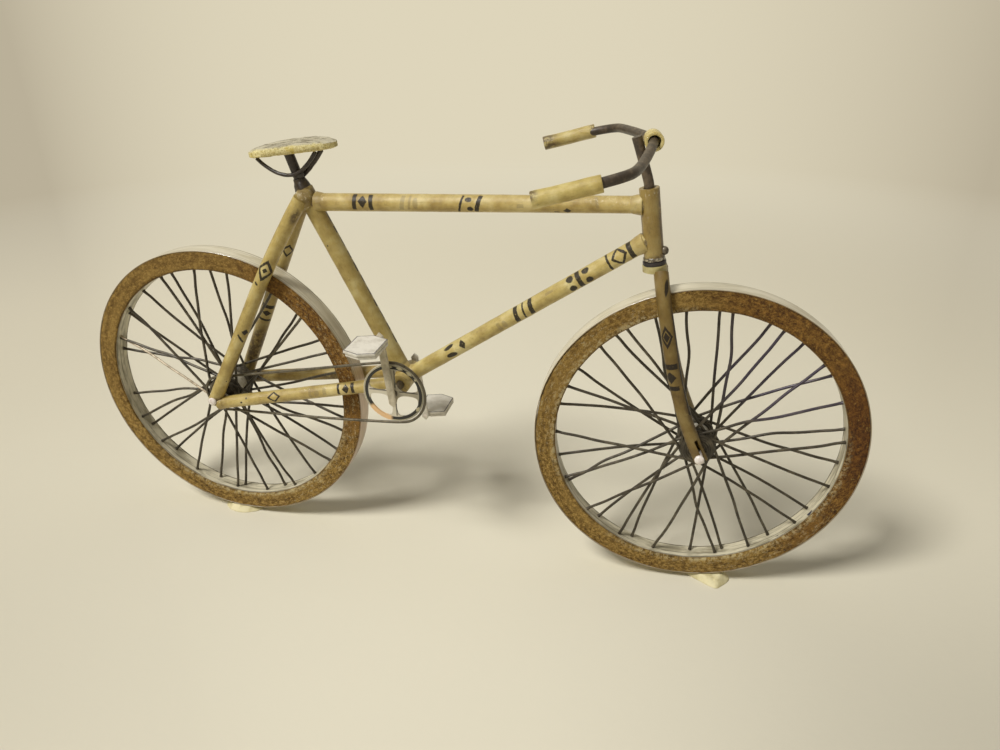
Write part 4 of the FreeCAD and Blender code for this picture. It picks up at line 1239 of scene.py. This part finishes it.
def buildSaddleWires():
    along = saddleTilt @ Vector((1, 0, 0))
    for part, name, node in (("wire", "saddleWire", "saddle_wire"), ("strut", "saddleStrut", "saddle_strut")):
        route = [saddleTop + along * forward + leftward * side - upward * (drop + saddle["wireWidth"] / 2)
                 for forward, side, drop in saddle[part]]
        piece = toMesh(bentRod(name, route, saddle[part + "Width"], 5, 10))
        roughen(piece, *saddle["wireGrain"])
        finish(piece, "root", materials["dark"], "dark_rod", node, smoothAngle=60)


buildPost()
buildPad()
buildSaddleWires()
print("saddle built")


# Steering: post, washer, crown, blades and handlebar
steering = {
    "postWidth": 1.4, "bendAbove": 1.0, "aboveBend": 6.0, "lean": 11.0,
    "washerWidth": 3.3, "washerThickness": 0.6, "crownWidth": 3.5, "crownThickness": 1.0, "gap": 0.05,
    "washerEdge": 0.12, "washerGrain": (0.6, 0.1),
    "crownLook": {"uneven": 0.26, "shine": 0.5, "toneAndShade": (0.84, 0.92, 1.15)},
    "beadUp": 1.2, "beadForward": 1.4, "beadRadius": 0.68, "beadGrain": (0.5, 0.12),
    "bladeWidth": 2.1, "bladeGrain": (1.5, 0.07), "forward": 0.8,
    "topSpread": 1.25, "shoulderSpread": 3.15, "shoulderDrop": 3.0,
    "bendSpread": 4.56, "bendHeight": 6.5, "bendBack": 3.4, "tipSpread": 4.85, "tipOverrun": 1.0,
    "slitWidth": 0.6, "slitLength": 3.9, "slitPast": 0.5, "slitTurn": 40.0, "bore": 1.5,
}
leanAxis = rising(math.degrees(math.atan2(headAxis.z, -headAxis.x)) - steering["lean"])
postBend = headTop + headAxis * steering["bendAbove"]
postTop = postBend + leanAxis * steering["aboveBend"]
washerTop = headFoot - headAxis * steering["gap"]
washerFoot = washerTop - headAxis * steering["washerThickness"]
crownFoot = washerFoot - headAxis * steering["crownThickness"]


def buildSteering():
    route = [crownFoot, headFoot, headTop, postBend, postTop]
    post = toMesh(bentRod("steeringPost", route, steering["postWidth"], 8, 8))
    settle(post, steerTurn())
    finish(post, "fork", materials["bar"], "bar_rod", "steering_post", smoothAngle=60)
    washer = addRound("headWasher", steering["washerWidth"], steering["washerThickness"], None, 48, 2)
    dress(washer, steerTurn() @ standing(washerFoot, washerTop), steering["washerEdge"],
          steering["washerGrain"])
    finish(washer, "fork", materials["washer"], "black_washer", "head_washer")
    paperTube("crownCollar", crownFoot, washerFoot, steering["crownWidth"], "fork", ["crown_collar"],
              turn=steerTurn(), **steering["crownLook"])
    bead = headFoot + headAxis * steering["beadUp"] + headForward * steering["beadForward"]
    deselect()
    bpy.ops.mesh.primitive_ico_sphere_add(subdivisions=4, radius=steering["beadRadius"] * mm,
                                          location=bead * mm)
    ball = named("headBead")
    applyPlace()
    roughen(ball, *steering["beadGrain"])
    finish(ball, "root", materials["bead"], "bead", "head_bead", smoothAngle=60)
    for name, side in (("right", -1), ("left", 1)):
        buildBlade(name, side)

bladeLooks = {
    "right": {
        "marks": [("dot", 2.4, -0.75, 1.2, 0.4, 0), ("lozenge", 9.2, 0.45, 1.7, 1.0, 0),
                  ("diamond", 9.2, 0.45, 0.8, 0.55, 0), ("bar", 13.7, 0.55, 0.42, 1.15, 0),
                  ("diamond", 15.4, 0.7, 0.95, 0.95, 0), ("bar", 17.1, 0.6, 0.34, 1.0, 0),
                  ("bar", 11.6, -1.2, 5.4, 0.2, 1), ("bar", 19.8, -1.2, 2.4, 0.16, -1)],
        "stainsAndShade": [(10.0, -1.4, 9.0, 0.9), (22.0, -1.2, 5.0, 0.8)], "toneAndShade": (0.33, 0.27, 0.16), "shine": 0.35,
    },
    "left": {"marks": [("bar", 9.0, 0.8, 0.9, 0.25, 70)], "stainsAndShade": [(12, 0, 14, 2.5)],
             "toneAndShade": (0.36, 0.3, 0.2)},
}


def bladeRoute(side):
    top = crownFoot + headForward * steering["forward"] + leftward * (side * steering["topSpread"])
    shoulder = top - headAxis * steering["shoulderDrop"]
    shoulder.y = side * steering["shoulderSpread"]
    tip = frontAxleStraight + leftward * (side * steering["tipSpread"])
    bend = tip + Vector((-steering["bendBack"], 0, steering["bendHeight"]))
    bend.y = side * steering["bendSpread"]
    run = (tip - bend).normalized()
    return [top, shoulder, bend, tip + run * steering["tipOverrun"]]


def buildBlade(name, side):
    route = bladeRoute(side)
    piece = toMesh(bentRod("forkBlade" + name.capitalize(), route, steering["bladeWidth"], 8, 10))
    alongRoute(piece, route, steering["bladeWidth"])
    splitTip(piece, route, side)
    dress(piece, steerTurn(), grain=steering["bladeGrain"])
    finish(piece, "fork", paperMaterial(name + "BladePaper", **bladeLooks[name]), "tube_paper",
           "fork_blade_" + name, smoothAngle=50)


def splitTip(piece, route, side):
    # the roll's end is hollow and slit on its outer side, a little forward
    end, run = route[-1], (route[-1] - route[-2]).normalized()
    past, width = steering["slitPast"], steering["bladeWidth"]
    length = steering["slitLength"] + past
    bore = addRound("boreCutter", steering["bore"], length, None, 24, 1)
    settle(bore, standing(end + run * past, end - run * steering["slitLength"]))
    deselect()
    bpy.ops.mesh.primitive_cube_add(size=mm, location=(0, 0, 0))
    slit = named("slitCutter")
    bpy.ops.transform.resize(value=(steering["slitWidth"], width, length))
    bpy.ops.transform.translate(value=(0, width / 2 * mm, (length / 2 - past) * mm))
    applyPlace()
    outward = leftward * side + Vector((math.tan(math.radians(steering["slitTurn"])), 0, 0))
    outward = (outward - run * outward.dot(run)).normalized()
    basis = Matrix((outward.cross(-run), outward, -run)).transposed().to_4x4()
    settle(slit, Matrix.Translation(end) @ basis)
    for cutter in (bore, slit):
        cut = piece.modifiers.new("cut", "BOOLEAN")
        cut.operation = "DIFFERENCE"
        cut.solver = "EXACT"
        cut.object = cutter
    applyModifiers(piece)
    for cutter in (bore, slit):
        bpy.data.objects.remove(cutter, do_unlink=True)


buildSteering()

handlebar = {
    "collarWidth": 2.55, "collarLength": 3.0, "collarBelowTop": 1.15, "width": 1.3, "halfWidth": 19.3,
    "straightHalf": 1.6, "sweep": 2.3, "elbowReach": 11.5, "leftElbowDrop": 0.45, "rightElbowDrop": 1.35,
    "cornerInset": 2.75, "gripWidth": 2.05, "gripLength": 8.2, "gripBack": 7.2, "gripDrop": 1.72,
    "gripSlope": 14.5, "insideGrip": 5.0, "gripWall": 0.34, "gripUneven": 0.13, "grain": (1.2, 0.05),
    "collarWall": 0.42, "collarLook": {"shine": 0.3, "toneAndShade": (0.98, 0.97, 0.9)},
}
gripLooks = {
    "right": {"toneAndShade": (0.97, 0.98, 0.94), "stainsAndShade": [(8.3, 0.8, 1.4, 1.4)], "shine": 0.1},
    "left": {"toneAndShade": (0.86, 0.84, 0.74), "shine": 0.7,
             "stainsAndShade": [(8.2, 0.4, 2.4, 3.0), (7.4, -0.6, 2.2, 0.9), (7.8, 0.9, 2.6, 0.8),
                        (0.2, 0.5, 0.8, 1.4)]},
}


def buildHandlebar():
    centre = postBend + leanAxis * (steering["aboveBend"] - handlebar["collarBelowTop"])
    ahead = Vector((leanAxis.z, 0, -leanAxis.x))
    centre = centre + ahead * (steering["postWidth"] + handlebar["collarWidth"]) / 2
    slope = math.radians(handlebar["gripSlope"])
    gripRun = Vector((-math.cos(slope), 0, -math.sin(slope)))
    turn = steerTurn(parking["barTwist"])
    halves = []
    for name, side in (("right", -1), ("left", 1)):
        front = centre + Vector((-handlebar["gripBack"], side * handlebar["halfWidth"],
                                 -handlebar["gripDrop"]))
        elbow = centre + Vector((-handlebar["sweep"], side * handlebar["elbowReach"], 0))
        elbow = elbow - upward * handlebar[name + "ElbowDrop"]
        corner = front - gripRun * handlebar["cornerInset"]
        halves.append([front + gripRun * handlebar["insideGrip"], corner, elbow,
                       centre + leftward * (side * handlebar["straightHalf"])])
        paperTube("grip" + name.capitalize(), front, front + gripRun * handlebar["gripLength"],
                  handlebar["gripWidth"], "fork", ["grip_" + name], turn=turn, openEnds=(False, True),
                  wall=handlebar["gripWall"], uneven=handlebar["gripUneven"], **gripLooks[name])
    bar = toMesh(bentRod("handlebarRod", [*halves[0], *reversed(halves[1])], handlebar["width"], 8, 12))
    dress(bar, turn, grain=handlebar["grain"])
    finish(bar, "fork", materials["bar"], "bar_rod", "handlebar", smoothAngle=60)
    half = leftward * (handlebar["collarLength"] / 2)
    paperTube("handlebarCollar", centre - half, centre + half, handlebar["collarWidth"], "fork",
              ["handlebar_collar"], turn=turn, openEnds=(False, True), wall=handlebar["collarWall"],
              **handlebar["collarLook"])


buildHandlebar()
print("steering built")


# Axle pins, each glued in the frame or the fork, with rounded and painted ends
pinEnds = {"radius": 0.74, "flat": 0.5, "out": 0.1, "grain": (0.6, 0.1)}


def buildPin(end, body, centre, turn):
    half = leftward * (wheel["pinLength"] / 2)
    pin = addRound(end + "AxlePin", wheel["pinWidth"], wheel["pinLength"], None, 32, 6)
    dress(pin, turn @ standing(centre - half, centre + half), wheel["pinEdge"], wheel["pinGrain"])
    finish(pin, body, materials["pin"], "axle_pin", end + "_axle_pin")
    for side, hand in ((-1, "Right"), (1, "Left")):
        deselect()
        bpy.ops.mesh.primitive_uv_sphere_add(segments=24, ring_count=12, radius=pinEnds["radius"] * mm)
        cap = named(end + "PinEnd" + hand)
        bpy.ops.transform.resize(value=(1, pinEnds["flat"], 1))
        applyPlace()
        out = leftward * (side * (wheel["pinLength"] / 2 + pinEnds["out"]))
        dress(cap, turn @ Matrix.Translation(centre + out), grain=pinEnds["grain"])
        finish(cap, body, materials["pin"], "axle_pin", smoothAngle=60)


buildPin("rear", "root", rearAxle, Matrix.Identity(4))
buildPin("front", "fork", frontAxleStraight, steerTurn())


# Cranks, chainring, pedals and chain
drive = {
    "ringSpread": 5.9, "ringRadius": 5.05, "band": 0.75, "thickness": 0.3, "spindleWidth": 1.3,
    "crankLength": 9.9, "crankWidth": 1.2, "crankThickness": 0.44, "crankOverrun": 2.0, "crankPoint": 0.6,
    "tipOverrun": 0.9, "lean": 7.0, "rightSpread": 6.9, "leftSpread": 4.7, "cardEdge": 0.06,
    "pedalLength": 7.0, "pedalSide": 5.2, "pedalWidth": 5.0, "pedalThickness": 1.0, "pedalOffset": 0.7,
    "pedalLayers": (0.46, 0.46), "pencilled": 0.14, "underShare": 0.96, "underSlip": (0.12, 0.05),
    "underGrain": (1.2, 0.06), "pinEdge": 0.1,
    "pinWidth": 0.6, "pinLength": 1.2, "pinSunk": 0.05,
    # half of one window between two arms: across and out from the ring's centre
    "window": ((0.62, 0.95), (0.36, 1.6), (0.3, 2.4), (0.34, 3.2), (0.6, 4.0)),
    "windowArc": (70, 62, 54, 45, 36, 28, 20), "armEdge": 0.34,
    "motifs": 17, "printed": ((34, 104), (-38, -22)), "salmonAt": -122,
    "wire": 0.45, "wireGap": 0.12, "rearRadius": 3.1, "rearSpread": 3.2, "slack": 0.25,
    "lowRun": (0.08, 0.3, 0.5, 0.7, 0.92), "lowWander": 0.05,
    "highRun": (0.08, 0.35, 0.65, 0.92), "highWander": 0.08, "arcPoints": 10,
}


def flatPiece(name, outline, thickness, matrix):
    # a card shape cut from its outline, laid in the matrix's XY plane and centred on it
    deselect()
    bpy.ops.mesh.primitive_circle_add(vertices=len(outline), radius=mm, fill_type="NGON")
    piece = named(name)
    for point, (x, y) in zip(piece.data.vertices, outline):
        point.co = (x * mm, y * mm, -thickness / 2 * mm)
    bpy.ops.object.mode_set(mode="EDIT")
    bpy.ops.mesh.select_all(action="SELECT")
    bpy.ops.mesh.extrude_region_move(TRANSFORM_OT_translate={"value": (0, 0, thickness * mm)})
    facesOut()
    dress(piece, matrix, drive["cardEdge"])
    return piece


def buildCranks():
    lean = math.radians(drive["lean"])
    low, high = -drive["crankOverrun"], drive["crankLength"] + drive["tipOverrun"]
    half, point, thick = drive["crankWidth"] / 2, drive["crankPoint"], drive["crankThickness"]
    outline = [(low, 0), (low + point, -half), (high - point, -half), (high, 0), (high - point, half),
               (low + point, half)]
    for name, side in (("right", -1), ("left", 1)):
        spread = drive[name + "Spread"]
        run = Vector((math.sin(lean), 0, -math.cos(lean))) * side
        basis = Matrix((run, leftward.cross(run), leftward)).transposed().to_4x4()
        place = Matrix.Translation(bracket + leftward * (side * spread)) @ basis
        piece = flatPiece("crank" + name.capitalize(), outline, thick, place)
        # The far crank is cut from the paler card: painted light that lifts it out of the shade it sits in.
        finish(piece, "crank", materials["crank" if side < 0 else "card"], "card", "crank_" + name)
        buildPedal(name, side, spread, run)
    inner = bracket + leftward * (thick / 2 - drive["rightSpread"])
    outer = bracket + leftward * (drive["leftSpread"] - thick / 2)
    spindle = addRound("crankSpindle", drive["spindleWidth"], (outer - inner).length, None, 32, 4)
    settle(spindle, standing(inner, outer))
    finish(spindle, "crank", materials["bead"], "hub_paper", "crank_spindle")


def buildPedal(name, side, spread, run):
    # two layers of card, the upper with a pencilled border, and the pin that carries them
    foot = bracket + run * drive["crankLength"]
    inner = spread + drive["crankThickness"] / 2
    middle = foot + leftward * (side * (inner + drive["pedalLength"] / 2))
    middle = middle + Vector((drive["pedalOffset"] * side, 0, 0))
    halfWidth, long, short = drive["pedalWidth"] / 2, drive["pedalLength"] / 2, drive["pedalSide"] / 2
    outline = [(0, long), (-halfWidth, short), (-halfWidth, -short), (0, -long), (halfWidth, -short),
               (halfWidth, short)]
    upper, lower = drive["pedalLayers"]
    lift = upward * (drive["pedalThickness"] - upper) / 2
    piece = flatPiece("pedal" + name.capitalize(), outline, upper, Matrix.Translation(middle + lift))
    selectFaces(piece, lambda face: face.normal.z > 0.9 and face.area > 1e-6)
    bpy.ops.mesh.inset(thickness=drive["pencilled"] * mm)
    objectMode()
    piece.data.materials.append(materials["card"])
    piece.data.materials.append(materials["pencil"])
    for face in piece.data.polygons:
        if face.normal.z > 0.9 and face.area < 4e-6:
            face.material_index = 1
    finish(piece, "crank", None, "card", "pedal_" + name)
    under = [(x * drive["underShare"], y * drive["underShare"]) for x, y in outline]
    slip = Vector((*drive["underSlip"], (lower - drive["pedalThickness"]) / 2))
    piece = flatPiece("pedalUnder" + name.capitalize(), under, lower, Matrix.Translation(middle + slip))
    roughen(piece, *drive["underGrain"])
    finish(piece, "crank", materials["card"], "card")
    pinStart = foot + leftward * (side * (spread - drive["crankThickness"] / 2 - drive["pinSunk"]))
    pinEnd = pinStart + leftward * (side * drive["pinLength"])
    pin = addRound("pedalPin" + name.capitalize(), drive["pinWidth"], drive["pinLength"], None, 20, 2)
    dress(pin, standing(pinStart, pinEnd), drive["pinEdge"])
    finish(pin, "crank", materials["pin"], "card")


def buildChainring():
    deselect()
    bpy.ops.curve.primitive_bezier_circle_add(radius=drive["ringRadius"] * mm)
    piece = named("chainring")
    piece.data.dimensions = "2D"
    piece.data.fill_mode = "BOTH"
    piece.data.resolution_u = 24
    piece.data.extrude = drive["thickness"] / 2 * mm
    reach = 1.01 * (drive["ringRadius"] - drive["band"])
    arc = [math.radians(turn) for turn in drive["windowArc"]]
    window = [*drive["window"], *((reach * math.cos(turn), reach * math.sin(turn)) for turn in arc),
              *((y, x) for x, y in reversed(drive["window"]))]
    for index in range(4):
        spin = Matrix.Rotation(index * math.pi / 2, 3, "Z")
        addSpline(piece.data, [spin @ Vector((x, y, 0)) for x, y in window], 3, True)
    piece = toMesh(piece)
    basis = Matrix(((1, 0, 0), (0, 0, -1), (0, 1, 0))).to_4x4()
    settle(piece, Matrix.Translation(bracket - leftward * drive["ringSpread"]) @ basis)
    finish(piece, "crank", ringMaterial(), "chainring_card", "chainring")


def ringMaterial():
    # pale card with pencilled arms; its dark band has cream diamonds, a cream edge and a salmon stretch
    material = shader("printedRing", 0.5, **{"Coat Weight": 0.2})
    place = inMillimetres(material)
    local = vectorMath(material, "SUBTRACT", place, bracket - leftward * drive["ringSpread"])
    reach = vectorMath(material, "LENGTH", local, output="Value")
    x, _, z = axes(material, local)
    turn = maths(material, "ARCTAN2", z, x)
    outer, inside = drive["ringRadius"], drive["ringRadius"] - drive["band"]
    band = times(material, step(material, reach, inside - 0.08, inside),
                 step(material, reach, outer - 0.06, outer - 0.12))
    cream = fromPhoto(206, 196, 160)
    base = mixColour(material, band, fromPhoto(206, 198, 176), fromPhoto(32, 32, 29))
    cells = maths(material, "FRACT", times(material, turn, drive["motifs"] / (2 * math.pi)))
    alongBand = times(material, apart(material, cells, 0.5), 2.4)
    acrossBand = times(material, apart(material, reach, inside + 0.45 * drive["band"]), 2.7)
    diamonds = step(material, maths(material, "ADD", alongBand, acrossBand), 0.95, 0.75)
    for low, high in drive["printed"]:
        half = math.radians((high - low) / 2)
        away = apart(material, turn, math.radians((low + high) / 2))
        base = paint(material, base, cream, step(material, away, half + 0.04, half - 0.04), diamonds, band)
    base = paint(material, base, cream, step(material, apart(material, reach, outer - 0.19), 0.07, 0.02))
    away = apart(material, turn, math.radians(drive["salmonAt"]))
    base = paint(material, base, fromPhoto(226, 186, 136), step(material, away, 0.5, 0.36),
                 step(material, reach, inside - 0.2, inside))
    for along, side in ((x, z), (z, x)):  # pencil line along one edge of each arm
        line = step(material, apart(material, side, drive["armEdge"]), 0.14, 0.05)
        arm = times(material, step(material, maths(material, "ABSOLUTE", along), 0.9, 1.1),
                    step(material, reach, inside - 0.1, inside - 0.3))
        base = paint(material, base, fromPhoto(54, 50, 42), line, arm, 0.85)
    connect(material, "Base Color", base)
    addBump(material, noise(material, place, 3.0, 4.0, 0.6), 0.04, 0.7)
    return material


def buildChain():
    # one loop of wire: round the ring, slack along the bottom, round the hub and back along the top
    front = bracket - leftward * drive["ringSpread"]
    rear = rearAxle - leftward * drive["rearSpread"]
    frontRadius = drive["ringRadius"] + drive["wireGap"] + drive["wire"] / 2
    rearRadius = drive["rearRadius"]
    along = (front - rear).normalized()
    lift = along.cross(upward).normalized().cross(along)
    tilt = math.acos((frontRadius - rearRadius) / (front - rear).length)

    def onCircle(centre, radius, turn):
        return centre + along * (radius * math.cos(turn)) + lift * (radius * math.sin(turn))

    def arc(centre, radius, first, last):  # corner points whose curve touches the circle
        count = drive["arcPoints"]
        grown = radius / math.cos((first - last) / count / 2)
        turns = [first + (last - first) * (index + 0.5) / count for index in range(count)]
        return [onCircle(centre, grown, turn) for turn in turns]

    route = arc(front, frontRadius, tilt, -tilt)
    start, end = onCircle(front, frontRadius, -tilt), onCircle(rear, rearRadius, -tilt)
    for share in drive["lowRun"]:
        sag = upward * (-drive["slack"] * math.sin(math.pi * share))
        sag = sag + leftward * random.uniform(-drive["lowWander"], drive["lowWander"])
        route.append(start.lerp(end, share) + sag)
    route += arc(rear, rearRadius, -tilt, tilt - 2 * math.pi)
    start, end = onCircle(rear, rearRadius, tilt), onCircle(front, frontRadius, tilt)
    for share in drive["highRun"]:
        wander = random.uniform(-drive["highWander"], drive["highWander"])
        route.append(start.lerp(end, share) + upward * wander)
    wire = toMesh(bentRod("chainWire", route, drive["wire"], 4, 6, True))
    finish(wire, "root", materials["chain"], "chain_wire", "chain_wire", smoothAngle=60)


buildCranks()
buildChainring()
buildChain()
print("drive built")


# Putty dabs under the tyres
putty = {
    "rear": {"centre": (-1.6, 0.0), "size": (8.2, 5.6), "top": 1.06},
    "front": {"centre": (84.8, -0.2), "size": (7.6, 5.8), "top": 1.5,
              "tongue": {"tip": (86.3, -3.0), "slim": 0.62, "thin": 0.35, "crease": 0.3,
                         "creaseWidth": 0.35}},
    "footIn": 0.1, "topShare": 0.62, "rings": 3, "ringWidth": 0.4, "wallCuts": 5,
    "edge": 0.25, "grain": (2.2, 0.3), "tyreGap": 0.22,
}


def buildPutty(end):
    dab = putty[end]
    deselect()
    bpy.ops.mesh.primitive_cylinder_add(vertices=40, radius=mm, depth=dab["top"] * mm,
                                        location=(0, 0, dab["top"] / 2 * mm))
    piece = named(end + "Putty")
    bpy.ops.transform.resize(value=(*(side / 2 - putty["footIn"] for side in dab["size"]), 1))
    applyPlace()
    selectFaces(piece, lambda face: face.normal.z > 0.9)
    bpy.ops.transform.resize(value=(putty["topShare"], putty["topShare"], 1), center_override=(0, 0, 0))
    for index in range(putty["rings"]):
        bpy.ops.mesh.inset(thickness=putty["ringWidth"] * mm)
    objectMode()
    selectEdges(piece, lambda first, second: abs(first.z - second.z) > 0.5 * mm)
    bpy.ops.mesh.subdivide(number_cuts=putty["wallCuts"])
    objectMode()
    soften(piece, putty["edge"], 3)
    roughen(piece, *putty["grain"])
    applyModifiers(piece)
    settle(piece, Matrix.Translation((*dab["centre"], 0)))
    if "tongue" in dab:
        pullTongue(piece, dab)
    pressTyre(piece, rearAxle if end == "rear" else frontAxle)
    finish(piece, "root", materials["putty"], "putty", "putty_" + end, smoothAngle=70)


def pullTongue(piece, dab):  # drawn out to a point at the near side, with a crease down it
    tongue = dab["tongue"]
    tipX = tongue["tip"][0]
    middleX, middleY = dab["centre"]
    for point in piece.data.vertices:
        place = point.co / mm
        near = max(0.0, (middleY - place.y) / (dab["size"][1] / 2))
        place.x = middleX + (place.x - middleX) * (1 - tongue["slim"] * near) + (tipX - middleX) * near
        crease = math.exp(-((place.x - tipX + 0.5) / tongue["creaseWidth"]) ** 2)
        place.z *= 1 - tongue["thin"] * near - tongue["crease"] * near * crease
        point.co = place * mm


def pressTyre(piece, centre):  # hollowed where the tyre stands in it, and flat on the table
    clear = wheel["outer"] + wheel["tread"] + putty["tyreGap"]
    for point in piece.data.vertices:
        offset = point.co / mm - centre
        if offset.length < clear:
            point.co = (centre + offset.normalized() * clear) * mm
        point.co.z = max(point.co.z, 0.0)


buildPutty("rear")
buildPutty("front")
print("putty built")
